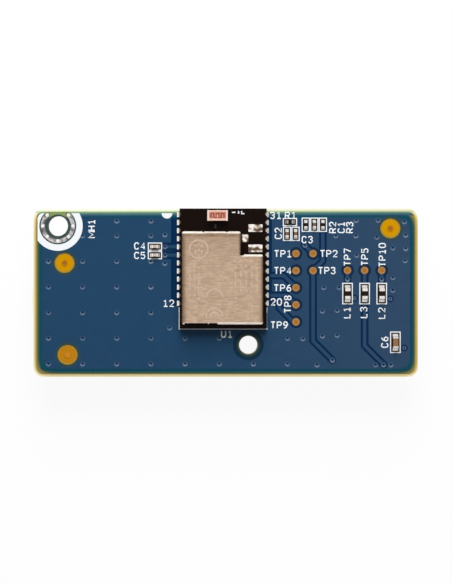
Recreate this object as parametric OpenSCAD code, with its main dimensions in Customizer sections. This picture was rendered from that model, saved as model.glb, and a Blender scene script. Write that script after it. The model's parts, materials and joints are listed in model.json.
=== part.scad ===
// Radio daughter card: a blue circuit board that carries a shielded radio module,
// chip parts and test pads on its upper face, and a socket for the host board below.
// Millimetres, +Z up. The origin is under the middle of the board, on the socket's mating face.

/* [Board] */
// Length of the board along X
board_length = 57.2; // [54:0.1:70]
// Width of the board along Y
board_width = 25; // [24:0.1:34]
// Thickness of the bare laminate
board_thickness = 1.6; // [0.8:0.1:2.4]
// Radius of the board's corners
corner_radius = 1.5; // [0.5:0.1:2.5]
// Length of the snapped-off panel tab that is left on the short edge
tab_length = 5; // [2:0.5:8]
// How far the snapped-off panel tab stands out
tab_height = 0.12; // [0.05:0.01:0.3]
// Place of the panel tab along the short edge, from its middle
tab_y = -1.2; // [-4:0.1:4]

/* [Layers] */
// Thickness of the copper lands
land_thickness = 0.04; // [0.02:0.005:0.07]
// Thickness of the solder mask where it covers copper
mask_thickness = 0.06; // [0.045:0.005:0.09]
// Thickness of the solder mask where it covers bare laminate
mask_floor = 0.03; // [0.015:0.005:0.04]
// Thickness of the white ink
ink_thickness = 0.02; // [0.01:0.005:0.04]
// Bare laminate round the edge of the solder mask
mask_pullback = 0.45; // [0.2:0.05:0.5]
// Copper-free band round the edge of the board
copper_pullback = 1.1; // [0.8:0.05:1.6]
// Gap between a land and the solder mask round it
mask_gap = 0.05; // [0.02:0.01:0.1]
// Width of the ink lines
ink_line = 0.15; // [0.12:0.01:0.3]
// Margin between the board's edge and the ink
ink_pullback = 0.65; // [0.5:0.05:0.8]
// Solder film between a land and what stands on it
joint_thickness = 0.04; // [0.03:0.005:0.08]

/* [Holes] */
// Diameter of the plain mounting hole
mount_diameter = 3; // [2.6:0.1:3.3]
// Mounting hole's distance from the left edge
mount_inset_x = 3.66; // [3.4:0.05:6]
// Mounting hole's distance from the upper edge
mount_inset_y = 2.55; // [2.4:0.05:4]
// Inner diameter of the bare metal ring round the mounting hole
ring_inner_diameter = 3.9; // [3.8:0.05:4.1]
// Outer diameter of the bare metal ring round the mounting hole
ring_diameter = 5.1; // [4.8:0.05:5.4]
// Copper-free line round the metal ring
ring_clearance = 0.2; // [0.1:0.02:0.3]
// Outer diameter of the white ring round the mounting hole
white_ring_diameter = 7.4; // [6.6:0.1:8]
// Distance of the metal ring from the board's upper edge
ring_pullback = 0.6; // [0.55:0.05:0.8]
// Width of the gap in the metal ring, towards the upper edge
ring_notch = 2.5; // [1.5:0.1:2.6]
// Diameter of the plain locating hole
locate_diameter = 2.7; // [2.6:0.1:3.4]
// Locating hole's place to the right of the module's centre line
locate_x = 3.74; // [1:0.1:6]
// Locating hole's distance below the module's lower side
locate_y = 2.45; // [2:0.05:3.5]
// Copper-free ring round the locating hole
locate_clearance = 0.95; // [0.5:0.05:1.2]
// Bare laminate between a hole and the solder mask
hole_margin = 0.2; // [0.16:0.01:0.24]

/* [Test pads] */
// Pitch of the test pads
test_pitch = 2.54; // [2:0.02:2.7]
// Diameter of a test pad
test_diameter = 1.1; // [0.8:0.1:1.4]
// Copper-free ring round a test pad
test_clearance = 0.4; // [0.2:0.02:0.5]
// Diameter of the bare laminate disc round a fiducial mark
fiducial_window = 3; // [2:0.1:3.4]
// Diameter of a fiducial mark
fiducial_diameter = 1; // [0.6:0.1:1.4]

/* [Places] */
// First test pad's distance from the module's right side
test_x = 4.38; // [3.5:0.01:6]
// First test pad's distance from the upper edge
test_y = 6.66; // [6.4:0.01:8]
// Last ferrite bead's distance from the right edge
bead_x = 5.38; // [4.8:0.01:8]
// Ferrite beads' distance from the upper edge
bead_y = 12.61; // [12:0.01:14]
// Distance from the ferrite beads up to their test pads
bead_test_gap = 3.45; // [3.2:0.01:4]
// Middle of the upper trio of chips, from the module's right side
trio_x = 7.11; // [6.8:0.01:8]
// Middle of the upper trio of chips, from the upper edge
trio_y = 2.37; // [2.2:0.01:3]
// Middle of the upper pair of chips, from the module's right side
pair_x = 3.69; // [3:0.01:4]
// Middle of the upper pair of chips, from the upper edge
pair_y = 3.72; // [3.6:0.01:4]
// Single chip's distance from the module's right side
single_x = 3.49; // [2.8:0.01:4]
// Single chip's distance from the upper edge
single_y = 1.97; // [1.7:0.01:2.1]
// Middle of the left pair of chips, from the module's left side
left_pair_x = 3.69; // [3:0.01:6]
// Middle of the left pair of chips, from the upper edge
left_pair_y = 6.26; // [4:0.01:8]
// Corner capacitor's distance from the right edge
corner_chip_x = 3.35; // [2.4:0.01:6]
// Corner capacitor's distance from the lower edge
corner_chip_y = 5.15; // [3.4:0.01:7]
// Upper left fiducial mark, from the left edge
fiducial_a_x = 4.66; // [3:0.01:8]
// Upper left fiducial mark, from the upper edge
fiducial_a_y = 8.05; // [8:0.01:12]
// Lower left fiducial mark, from the left edge
fiducial_b_x = 5.1; // [3:0.01:8]
// Lower left fiducial mark, from the lower edge
fiducial_b_y = 3.31; // [3:0.01:6]
// Upper right fiducial mark, from the right edge
fiducial_c_x = 4.09; // [3:0.01:6]
// Upper right fiducial mark, from the upper edge
fiducial_c_y = 2.89; // [2.8:0.01:4]

/* [Traces and vias] */
// Width of a wide trace
trace_width = 0.5; // [0.2:0.02:0.6]
// Copper-free gap on each side of a trace
trace_gap = 0.33; // [0.2:0.01:0.5]
// Diameter of the dimple in the mask over a via
via_dimple = 0.4; // [0.2:0.05:0.6]
// Width of the wall round the dimple of a via that stands alone
via_wall = 0.08; // [0.06:0.01:0.15]
// Copper-free gap round a via that stands alone
via_gap = 0.22; // [0.1:0.01:0.4]
// Pitch of the stitching vias along X
via_pitch_x = 5.08; // [3:0.02:6]
// Pitch of the stitching vias along Y
via_pitch_y = 3.81; // [3:0.01:5]

/* [Chip parts] */
// Length of a small chip
small_length = 1; // [0.8:0.05:1.1]
// Width of a small chip
small_width = 0.5; // [0.4:0.05:0.6]
// Length of a small chip's metal end
small_end = 0.25; // [0.15:0.01:0.3]
// Solder toe beyond a small chip
small_toe = 0.22; // [0.2:0.02:0.36]
// Distance between neighbouring small chips
small_pitch = 1.27; // [1.2:0.01:1.4]
// Length of a large chip
large_length = 1.6; // [1.4:0.05:1.8]
// Width of a large chip
large_width = 0.8; // [0.6:0.05:0.9]
// Length of a large chip's metal end
large_end = 0.44; // [0.2:0.02:0.5]
// Length of the corner capacitor's metal end
corner_end = 0.2; // [0.15:0.01:0.5]
// Solder toe beyond a large chip
large_toe = 0.46; // [0.3:0.02:0.6]
// Width of the ink frame round a large chip
large_frame = 1.57; // [1.4:0.01:1.8]
// Height of a chip resistor
resistor_height = 0.35; // [0.25:0.05:0.5]
// Height of a small chip capacitor
capacitor_height = 0.5; // [0.3:0.05:0.6]
// Height of a large chip
large_height = 0.8; // [0.5:0.05:0.95]
// Metal thickness of a chip's ends
end_wall = 0.03; // [0.02:0.005:0.05]
// Rounding of a chip's edges
chip_radius = 0.07; // [0.06:0.01:0.1]
// Gap between the ink frames of neighbouring chips
frame_split = 0.05; // [0.02:0.01:0.1]
// Gap between a chip's solder and the ink frame round it
frame_gap = 0.19; // [0.05:0.01:0.25]

/* [Radio module] */
// Width of the module along X
module_width = 12.9; // [12.7:0.1:14]
// Length of the module along Y
module_length = 17.8; // [17.4:0.1:18.6]
// Thickness of the module's own board
module_thickness = 0.8; // [0.6:0.05:1.2]
// Module's centre line to the right of the board's centre line
module_x = -0.36; // [-2:0.02:2]
// Pitch of the module's terminals
terminal_pitch = 1.2; // [1:0.01:1.24]
// Terminals on each long side of the module
terminal_count = 12; // [6:1:12]
// Terminals under the module's lower edge
lower_terminal_count = 7; // [3:1:8]
// First terminal's distance from the module's upper edge
terminal_start = 0.85; // [0.6:0.05:1.2]
// Width of a terminal's land
terminal_width = 0.75; // [0.5:0.05:0.85]
// Land's reach out past the module's side
terminal_toe = 0.4; // [0.3:0.05:0.7]
// Land's reach in under the module
terminal_heel = 0.8; // [0.5:0.05:1]
// Radius of the half hole in the module's side
half_hole_radius = 0.25; // [0.15:0.01:0.3]
// Copper on the module's terminals
terminal_copper = 0.04; // [0.03:0.005:0.06]
// Copper-free strip beyond the lands on the module's left side
strip_left = 0.9; // [0.2:0.05:1]
// Copper-free strip beyond the lands on the module's right side
strip_right = 0.4; // [0.2:0.05:1]
// Height of the solder up the module's side
terminal_rise = 0.5; // [0.3:0.05:0.58]

/* [Shield and aerial] */
// Strip of the module above the shield that is left free for the aerial
aerial_zone = 3.4; // [2.4:0.05:4]
// Height of the shield
shield_height = 1.5; // [1.2:0.05:2]
// Sheet thickness of the shield
shield_sheet = 0.15; // [0.1:0.01:0.2]
// Outer radius of the shield's bends
shield_bend = 0.4; // [0.25:0.05:0.5]
// Shield's distance from the module's left side
shield_inset_x = 0.35; // [0.3:0.05:0.7]
// Shield's distance from the module's right side
shield_inset_right = 0.55; // [0.3:0.05:0.7]
// Shield's distance from the module's lower side
shield_inset_y = 0.6; // [0.3:0.05:0.7]
// Width of the notch in the shield's upper right corner
notch_width = 3.3; // [2.8:0.1:3.6]
// Length of the notch in the shield's upper right corner
notch_length = 3.4; // [3.2:0.1:4]
// Length of the relief cut beside the notch's inner corner
notch_relief = 0.46; // [0.2:0.02:0.7]
// Depth of the relief cut into the shield's upper face
relief_depth = 0.2; // [0.15:0.01:0.3]
// Width of the slits between the shield's folded walls
slit_width = 0.14; // [0.08:0.02:0.2]
// Step of the shield's middle upper wall, in from the walls beside it
wall_step = 0.05; // [0.02:0.01:0.08]
// Side of the square relief cuts in the shield's upper bend
relief_side = 0.32; // [0.2:0.02:0.5]
// Length of the opening in the shield's lower wall
wall_gap_length = 4.9; // [3:0.1:5.5]
// Depth of the opening in the shield's lower wall
wall_gap_depth = 0.25; // [0.2:0.01:0.5]
// Length of the chip aerial
aerial_length = 3.05; // [2.6:0.05:3.4]
// Width of the chip aerial
aerial_width = 1.6; // [1.2:0.05:1.8]
// Height of the chip aerial
aerial_height = 1.1; // [0.5:0.05:1.3]
// Length of the aerial's metal ends
aerial_end = 0.3; // [0.2:0.05:0.5]
// Aerial's place from the module's left side to its own left end
aerial_x = 4.1; // [2:0.1:5]
// Aerial's distance from the module's upper side
aerial_y = 0.28; // [0.2:0.02:0.5]

/* [Host socket] */
// Pitch of the socket's contacts
socket_pitch = 2; // [1.8:0.05:2.4]
// Contacts in each of the socket's two rows
socket_columns = 8; // [5:1:9]
// Width of the socket's housing
socket_width = 4.4; // [4:0.1:5.2]
// Height of the socket's housing
socket_height = 4.2; // [3:0.1:6]
// Side of a contact's square cavity
cavity_side = 0.9; // [0.7:0.05:1]
// Sheet thickness of a contact
contact_sheet = 0.2; // [0.12:0.01:0.25]
// Width of a contact
contact_width = 0.5; // [0.3:0.05:0.6]
// Reach of a contact's tail past the housing
tail_reach = 1; // [0.6:0.05:1.4]
// Socket's place above the board's centre line
socket_y = 0.5; // [-1:0.1:1.5]

/* [Hidden] */
$fn = 48;
over = 0.01;                       // overshoot of a cut past a face
left = -board_length / 2;
right = board_length / 2;
top = board_width / 2;
bottom = -board_width / 2;

// Heights of the stack, from the socket's mating face up
tail_clearance = 0.03;
z_tail = socket_height + tail_clearance;
z_under = z_tail + contact_sheet + joint_thickness + land_thickness;
z_top = z_under + board_thickness;
z_mask = z_top + mask_thickness;
z_chip = z_top + land_thickness + joint_thickness;
z_module = z_chip + terminal_copper;
z_parts = z_module + module_thickness;

// Places on the board, each measured from the edge or the piece that it keeps to
mount_place = [left + mount_inset_x, top - mount_inset_y];
module_left = module_x - module_width / 2;
module_right = module_x + module_width / 2;
module_low = top - module_length;
module_corner = [module_left, module_low];
locate_place = [module_x + locate_x, module_low - locate_y];
test_place = [module_right + test_x, top - test_y];
bead_place = [right - bead_x, top - bead_y];
bead_test_place = bead_place + [0, bead_test_gap];
fiducial_places = [
    [left + fiducial_a_x, top - fiducial_a_y],
    [left + fiducial_b_x, bottom + fiducial_b_y],
    [right - fiducial_c_x, top - fiducial_c_y],
];
pin_one_x = 1.9;
pin_one_radius = 0.8;
pin_one_place = [module_left - pin_one_x, top - ink_pullback];

// Test pads: a block beside the module, and a row above the ferrite beads
test_grid = [[0, 0], [1, 0], [0, -1], [1, -1], [0, -2], [0, -3], [0, -4]];
test_places = concat(
    [for (g = test_grid) test_place + test_pitch * g],
    [for (k = [-2:0]) bead_test_place + [k * test_pitch, 0]]
);
pad_tp3 = test_places[3];
pad_tp2 = test_places[1];
pad_tp6 = test_places[4];
pad_tp8 = test_places[5];
pad_tp9 = test_places[6];

// Chip sizes: length, width, length of the metal end, solder toe, width of the ink frame
small = [small_length, small_width, small_end, small_toe, small_pitch - frame_split];
large = [large_length, large_width, large_end, large_toe, large_frame];
corner = [large_length, large_width, corner_end, large_toe, large_frame];

// Chip parts: name, size, height, body colour, place, turn
resistor_colour = [0.08, 0.07, 0.07];
capacitor_colour = [0.55, 0.43, 0.33];
bead_colour = [0.16, 0.12, 0.1];
trio_place = [module_right + trio_x, top - trio_y];
pair_place = [module_right + pair_x, top - pair_y];
single_place = [module_right + single_x, top - single_y];
left_pair_place = [module_left - left_pair_x, top - left_pair_y];
corner_place = [right - corner_chip_x, bottom + corner_chip_y];
CHIPS = [
    ["resistor_r1", small, resistor_height, resistor_colour, single_place, 0],
    ["resistor_r2", small, resistor_height, resistor_colour, trio_place - [small_pitch, 0], 90],
    ["capacitor_c1", small, capacitor_height, capacitor_colour, trio_place, 90],
    ["resistor_r3", small, resistor_height, resistor_colour, trio_place + [small_pitch, 0], 90],
    ["capacitor_c2", small, capacitor_height, capacitor_colour, pair_place - [small_pitch / 2, 0], 90],
    ["capacitor_c3", small, capacitor_height, capacitor_colour, pair_place + [small_pitch / 2, 0], 90],
    ["capacitor_c4", small, capacitor_height, capacitor_colour, left_pair_place + [0, small_pitch / 2], 0],
    ["capacitor_c5", small, capacitor_height, capacitor_colour, left_pair_place - [0, small_pitch / 2], 0],
    ["bead_l1", large, large_height, bead_colour, bead_place - [2 * test_pitch, 0], 90],
    ["bead_l3", large, large_height, bead_colour, bead_place - [test_pitch, 0], 90],
    ["bead_l2", large, large_height, bead_colour, bead_place, 90],
    ["capacitor_c6", corner, large_height, capacitor_colour, corner_place, 90],
];
trace_r3 = CHIPS[3][4];
trace_l3 = CHIPS[9][4];

// Traces that leave the ground copper: legs and runs of their slanting and straight stretches
foot_leg = 2.85;
foot_y = 2.5;
foot_step = 0.7;
tp2_leg = 1.3;
tp6_leg = 1.8;
tp8_leg = 1.4;
tp9_leg = 2.1;
tp9_run = 0.4;
tp9_rise = 1.2;
trace_start = 0.8;
pair_run = 2.2;
trace_foot = bottom + foot_y;
l3_foot = trace_foot - foot_step;
pair_rows = [left_pair_place + [0, small_pitch / 2], left_pair_place - [0, small_pitch / 2]];
tp9_bend = pad_tp9 - [tp9_run + tp9_leg, -tp9_leg];
module_side = module_right + trace_start;

// Each trace is a line of points
TRACES = [
    [pad_tp3, [pad_tp3[0], trace_foot + foot_leg], [pad_tp3[0] + foot_leg, trace_foot]],
    [pad_tp3, [trace_r3[0], pad_tp3[1] + trace_r3[0] - pad_tp3[0]], trace_r3],
    [pad_tp2, pad_tp2 + [-tp2_leg, tp2_leg]],
    [trace_l3, [trace_l3[0], l3_foot + foot_leg], [trace_l3[0] + foot_leg, l3_foot]],
    [trace_l3, trace_l3 + [0, bead_test_gap]],
    [bead_place, bead_test_place],
    [bead_place - [2 * test_pitch, 0], bead_test_place - [2 * test_pitch, 0]],
    [[module_side, pad_tp6[1] + tp6_leg], pad_tp6 + [-tp6_leg, tp6_leg], pad_tp6],
    [[module_side, pad_tp8[1] + tp8_leg], pad_tp8 + [-tp8_leg, tp8_leg], pad_tp8],
    [tp9_bend + [0, tp9_rise], tp9_bend, pad_tp9 - [tp9_run, 0], pad_tp9],
    for (p = pair_rows) [p + [trace_start, 0], p + [trace_start + pair_run, 0]],
];

// Stitching vias on a grid over the left and lower part of the board
via_x = 2.26;
via_y = 1.95;
via_module_gap = 1.5;
via_low_gap = 1;
via_reach = 4;
via_start = [left + via_x, bottom + via_y];
via_columns = floor((board_length - 2 * via_x) / via_pitch_x);
via_rows = floor((board_width - 2 * via_y) / via_pitch_y);
grid_vias = [
    for (i = [0:via_columns], j = [0:via_rows])
        let (p = via_start + [i * via_pitch_x, j * via_pitch_y])
        if (p[0] < module_left - via_module_gap
            || (p[1] < module_low - via_low_gap && p[0] < module_right + via_reach)) p
];

// Two more of the grid's columns near the upper edge
via_upper_y = 1.8;
upper_vias = [for (k = [2, 3]) [via_start[0] + k * via_pitch_x, top - via_upper_y]];

// Vias in the short traces of the left pair of chips and of the outer ferrite beads
pair_via = 1.48;
bead_via = 2.15;
trace_vias = concat(
    [for (p = pair_rows) p + [pair_via, 0]],
    [for (k = [-2, 0]) bead_place + [k * test_pitch, bead_via]]
);

// Other vias, measured from the upper right corner
other_vias = [
    [-9.2, -1.7], [-5.9, -1.7], [-2, -1.9], [-1.8, -3.9], [-6.1, -4.2], [-9.2, -4], [-12.2, -4],
    [-3.7, -5.8], [-1.8, -5.9], [-1.9, -7.7], [-9.1, -6.9], [-3.7, -10.2], [-3.7, -12.1],
    [-14, -11.7], [-11.7, -11.7], [-14.2, -15.2], [-12, -15.1],
    [-14.2, -18.9], [-12, -18.8], [-17.1, -19.3], [-15, -23.2], [-12.7, -22.5], [-6.3, -23.2],
    [-5.1, -23.2], [-4, -23.2], [-16.8, -5.4],
];
// Vias that stand alone in a copper-free gap, measured from the upper right corner
lone_vias = [for (v = [[-9.4, -13.3], [-4.1, -13.4], [-2, -20.7]]) [right, top] + v];
// Vias beside the module's left side, measured from the board's upper edge
side_vias = [[-2.2, -3.85], [-2.2, -8.1], [-1.5, -17.7]];
VIAS = concat(
    grid_vias,
    upper_vias,
    trace_vias,
    lone_vias,
    [for (v = other_vias) [right, top] + v],
    [for (v = side_vias) [module_left, top] + v]
);

// Terminals of the module: height of each on its long sides, and places under its lower edge
lower_heel = 0.7;                  // place of the lower terminals in from the module's edge
lower_length = 0.9;
terminal_rows = [for (k = [0:terminal_count - 1]) top - terminal_start - k * terminal_pitch];
lower_terminals = [
    for (k = [0:lower_terminal_count - 1])
        [module_x + (k - (lower_terminal_count - 1) / 2) * terminal_pitch, module_low + lower_heel]
];
clear_strips = [strip_left, strip_right];
clear_length = terminal_count * terminal_pitch;

// Lands of the unfitted coaxial jack in the shield's notch: place from the module's upper right corner
jack_earth_size = [2.1, 1.12];
jack_signal_size = [0.98, 1.16];
JACK_LANDS = [
    [[-1.67, -2.9], jack_earth_size],
    [[-3.19, -4.4], jack_signal_size],
    [[-1.67, -5.9], jack_earth_size],
];

// The shield fills the module up to the aerial's strip
shield_width = module_width - shield_inset_x - shield_inset_right;
shield_length = module_length - shield_inset_y - aerial_zone;

// Relief cuts along the shield's upper wall, from its left side
relief_places = [3.2, 6.65];

// Pointed tooth left in the opening of the shield's lower wall
wall_tooth_x = 3.95;
wall_tooth = 0.2;

// Pieces under the shield: place from the module's lower left corner, and one column by its right side
right_column = module_width - 2.3;
radio_chip_side = 7;
radio_chip_height = 0.85;
radio_chip_place = [4.4, 5];
lead_thickness = 0.05;
lead_size = [0.24, 0.4];
lead_pitch = 0.5;
lead_count = 12;
thermal_side = 5.2;
crystal_size = [2, 1.6, 0.55];
crystal_place = [right_column, 7.7];
sleep_crystal_size = [2, 1.2, 0.6];
sleep_crystal_place = [right_column, 2.2];
inductor_size = [2, 1.6, 0.9];
inductor_place = [2.6, 10.9];
inner_size = [0.6, 0.3, 0.3];
inner_radius = 0.04;
inner_column = [right_column, 3.9];
inner_row = [4.8, 10.2];
inner_top_row = [5, 12];
inner_chips = [
    for (k = [0:4]) inner_column + [0, 0.55 * k],
    for (k = [0:4]) inner_row + [0.85 * k, 0],
    for (k = [0:2]) inner_top_row + [0.85 * k, 0],
];
can_radius = 0.12;

// Socket under the board
socket_end = 0.4;
socket_radius = 0.25;
socket_length = socket_columns * socket_pitch + socket_end;
socket_x = 0;
row_offset = socket_pitch / 2;
contact_columns = [for (k = [0:socket_columns - 1]) (k - (socket_columns - 1) / 2) * socket_pitch];
tail_end = socket_width / 2 + tail_reach;
tail_land_toe = 0.3;
tail_land_length = tail_reach + tail_land_toe;
tail_land_width = contact_width + tail_land_toe;

// Shared shapes

module rounded_rect(length, width, radius) {
    square([length - 2 * radius, width], center = true);
    square([length, width - 2 * radius], center = true);
    for (x = [-1, 1], y = [-1, 1])
        translate([x * (length / 2 - radius), y * (width / 2 - radius)]) circle(radius);
}

// Box with rounded edges that stands on z = 0
module rounded_block(size, radius) {
    intersection() {
        linear_extrude(size[2]) rounded_rect(size[0], size[1], radius);
        translate([0, 0, size[2] / 2]) rotate([90, 0, 0])
            linear_extrude(size[1] + 1, center = true) rounded_rect(size[0], size[2], radius);
        translate([0, 0, size[2] / 2]) rotate([90, 0, 90])
            linear_extrude(size[0] + 1, center = true) rounded_rect(size[1], size[2], radius);
    }
}

// Hollow solder ramp: it leans on x = 0 and runs out along +X
module solder_ramp(reach, rise, width) {
    tip = 0.02;
    chord = [reach - tip, rise - tip];
    lift = norm(chord) * 0.45;
    centre = [reach + tip, rise + tip] / 2 + [chord[1], chord[0]] / norm(chord) * lift;
    rotate([90, 0, 0]) linear_extrude(width, center = true) difference() {
        square([reach, rise]);
        translate(centre) circle(r = norm([lift, norm(chord) / 2]));
    }
}

module line(points, width) {
    for (k = [0:len(points) - 2]) {
        step = points[k + 1] - points[k];
        translate(points[k]) rotate(atan2(step[1], step[0]))
            translate([0, -width / 2]) square([norm(step), width]);
    }
    for (p = points) translate(p) circle(d = width);
}

// Board

module board_outline(inset) {
    rounded_rect(board_length - 2 * inset, board_width - 2 * inset, max(corner_radius - inset, 0.1));
}

// Low round stub of a snapped-off panel tab, on the short edge at the left
module tab_stub() {
    bow = (tab_length * tab_length / 4 + tab_height * tab_height) / (2 * tab_height);
    intersection() {
        translate([left - tab_height + bow, tab_y]) circle(bow, $fn = 96);
        translate([left - tab_height, tab_y - tab_length / 2])
            square([tab_height + corner_radius, tab_length]);
    }
}

module board() {
    color([0.85, 0.7, 0.3]) translate([0, 0, z_under]) linear_extrude(board_thickness) difference() {
        union() {
            board_outline(0);
            tab_stub();
        }
        translate(mount_place) circle(d = mount_diameter);
        translate(locate_place) circle(d = locate_diameter);
    }
}

// Lands and test pads

module chip_land_shapes(grow) {
    for (c = CHIPS) translate(c[4]) rotate(c[5]) for (s = [0, 180]) rotate(s)
        translate([c[1][0] / 2 - c[1][2] - grow, -c[1][1] / 2 - grow])
            square([c[1][2] + c[1][3] + 2 * grow, c[1][1] + 2 * grow]);
}

module side_land_shapes(grow) {
    for (y = terminal_rows, s = [0, 1])
        translate([s == 0 ? module_left : module_right, y]) mirror([1 - s, 0])
            translate([-terminal_heel - grow, -terminal_width / 2 - grow])
                square([terminal_heel + terminal_toe + 2 * grow, terminal_width + 2 * grow]);
}

module lower_land_shapes(grow) {
    for (p = lower_terminals) translate(p)
        square([terminal_width + 2 * grow, lower_length + 2 * grow], center = true);
}

module test_pad_shapes(grow) {
    for (p = test_places) translate(p) circle(d = test_diameter + 2 * grow);
}

module chip_lands() {
    color([0.8, 0.55, 0.25]) translate([0, 0, z_top]) linear_extrude(land_thickness) chip_land_shapes(0);
}

module module_lands() {
    color([0.8, 0.55, 0.25]) translate([0, 0, z_top]) linear_extrude(land_thickness) {
        side_land_shapes(0);
        lower_land_shapes(0);
    }
}

module test_pads() {
    color([0.85, 0.5, 0.15]) translate([0, 0, z_top]) linear_extrude(land_thickness) test_pad_shapes(0);
}

module fiducial_marks() {
    color([0.8, 0.45, 0.15]) translate([0, 0, z_top]) linear_extrude(land_thickness)
        for (p = fiducial_places) translate(p) circle(d = fiducial_diameter);
}

// Solder mask

module mask_openings() {
    chip_land_shapes(mask_gap);
    side_land_shapes(mask_gap);
    lower_land_shapes(mask_gap);
    test_pad_shapes(mask_gap);
    for (p = fiducial_places) translate(p) circle(d = fiducial_window);
    hole_openings();
}

// Openings of both masks at the two holes
module hole_openings() {
    translate(mount_place) {
        ring_shape(mask_gap);
        circle(d = mount_diameter + 2 * hole_margin);
    }
    translate(locate_place) circle(d = locate_diameter + 2 * hole_margin);
}

// Copper-free discs round the two holes
module hole_clearances() {
    translate(mount_place) circle(d = ring_diameter + 2 * ring_clearance);
    translate(locate_place) circle(d = locate_diameter + 2 * locate_clearance);
}

// Where the ground copper under the mask is cleared away
module copper_gaps() {
    difference() {
        union() {
            for (t = TRACES) line(t, trace_width + 2 * trace_gap);
            test_pad_shapes(test_clearance);
            hole_clearances();
            lone_via_shapes(via_wall + via_gap);
            for (s = [0, 1]) translate([s == 0 ? module_left : module_right, top - clear_length])
                mirror([1 - s, 0]) square([terminal_toe + clear_strips[s], clear_length]);
        }
        for (t = TRACES) line(t, trace_width);
        lone_via_shapes(via_wall);
    }
}

module lone_via_shapes(grow) {
    for (p = lone_vias) translate(p) circle(d = via_dimple + 2 * grow);
}

module via_dimples() {
    for (p = VIAS) translate(p) circle(d = via_dimple);
}

module solder_mask_top() {
    color([0.13, 0.27, 0.42]) translate([0, 0, z_top]) {
        linear_extrude(mask_floor) difference() {
            board_outline(mask_pullback);
            mask_openings();
        }
        translate([0, 0, mask_floor]) linear_extrude(mask_thickness - mask_floor) difference() {
            board_outline(copper_pullback);
            mask_openings();
            copper_gaps();
            via_dimples();
        }
    }
}

module solder_mask_under() {
    color([0.13, 0.27, 0.42]) translate([0, 0, z_under - mask_thickness]) {
        translate([0, 0, mask_thickness - mask_floor]) linear_extrude(mask_floor) difference() {
            board_outline(mask_pullback);
            under_openings();
        }
        linear_extrude(mask_thickness - mask_floor) difference() {
            board_outline(copper_pullback);
            under_openings();
            hole_clearances();
            via_dimples();
        }
    }
}

module under_openings() {
    tail_land_shapes(mask_gap);
    hole_openings();
}

// White ink

module chip_frame(size) {
    inside = size[0] + 2 * (size[3] + frame_gap);
    difference() {
        square([inside + 2 * ink_line, size[4]], center = true);
        square([inside, size[4] - 2 * ink_line], center = true);
    }
}

// Open frame round the module's lower end
module module_frame() {
    frame_top = terminal_rows[terminal_count - 1] - terminal_width / 2 - frame_gap;
    difference() {
        translate([module_left - ink_line, module_low - ink_line])
            square([module_width + 2 * ink_line, frame_top - module_low + ink_line]);
        translate(module_corner) square([module_width, module_length]);
    }
}

module white_ink() {
    color("white") translate([0, 0, z_mask]) linear_extrude(ink_thickness) {
        for (c = CHIPS) translate(c[4]) rotate(c[5]) chip_frame(c[1]);
        module_frame();
        intersection() {
            board_outline(ink_pullback);
            union() {
                translate(pin_one_place) circle(pin_one_radius);
                translate(mount_place) difference() {
                    circle(d = white_ring_diameter);
                    circle(d = ring_diameter + 2 * ring_clearance);
                }
            }
        }
    }
}

// Mounting hole

// Open ring, cut back from the board's upper edge
module ring_shape(grow) {
    intersection() {
        difference() {
            circle(d = ring_diameter + 2 * grow);
            circle(d = ring_inner_diameter - 2 * grow);
            translate([grow - ring_notch / 2, 0]) square([ring_notch - 2 * grow, ring_diameter]);
        }
        translate([-ring_diameter, -ring_diameter])
            square([2 * ring_diameter, ring_diameter + mount_inset_y - ring_pullback + grow]);
    }
}

module mounting_ring() {
    color([0.75, 0.75, 0.73]) translate(mount_place) for (z = [z_under - land_thickness, z_top])
        translate([0, 0, z]) linear_extrude(land_thickness) ring_shape(0);
}

// Solder domes on the ring's vias
module ring_solder() {
    dome_radius = 0.3;
    dome_height = 0.14;
    ball = (dome_radius * dome_radius + dome_height * dome_height) / (2 * dome_height);
    orbit = (ring_inner_diameter + ring_diameter) / 4;
    color([0.9, 0.9, 0.88]) for (angle = [135:45:405])
        translate(mount_place) translate([orbit * cos(angle), orbit * sin(angle), z_top + land_thickness])
            intersection() {
                translate([0, 0, dome_height - ball]) sphere(ball);
                cylinder(r = 2 * dome_radius, h = 2 * dome_height);
            }
}

// Chip parts

module at_chip(chip, z) {
    translate([chip[4][0], chip[4][1], z]) rotate(chip[5]) children();
}

module chip_core(chip) {
    translate([0, 0, end_wall]) rounded_block(
        [chip[1][0] - 2 * end_wall, chip[1][1] - 2 * end_wall, chip[2] - 2 * end_wall],
        chip_radius - end_wall
    );
}

module chip_body(chip) {
    color(chip[3]) at_chip(chip, z_chip) chip_core(chip);
}

module chip_ends(chip) {
    color("silver") at_chip(chip, z_chip) difference() {
        rounded_block([chip[1][0], chip[1][1], chip[2]], chip_radius);
        chip_core(chip);
        translate([0, 0, chip[2] / 2])
            cube([chip[1][0] - 2 * chip[1][2], chip[1][1] + 1, chip[2] + 1], center = true);
    }
}

module chip_solder() {
    color([0.85, 0.85, 0.83]) for (c = CHIPS, s = [0, 180]) at_chip(c, z_top + land_thickness) rotate(s) {
        translate([c[1][0] / 2 - c[1][2], -c[1][1] / 2, 0])
            cube([c[1][2] + c[1][3], c[1][1], joint_thickness]);
        translate([c[1][0] / 2, 0, joint_thickness]) solder_ramp(c[1][3], c[2] * 0.7, c[1][1]);
    }
}

// Radio module

module module_board() {
    color([0.08, 0.07, 0.07]) translate([0, 0, z_module]) linear_extrude(module_thickness) difference() {
        translate(module_corner) square([module_width, module_length]);
        for (x = [module_left, module_right], y = terminal_rows) translate([x, y]) circle(half_hole_radius);
    }
}

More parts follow.
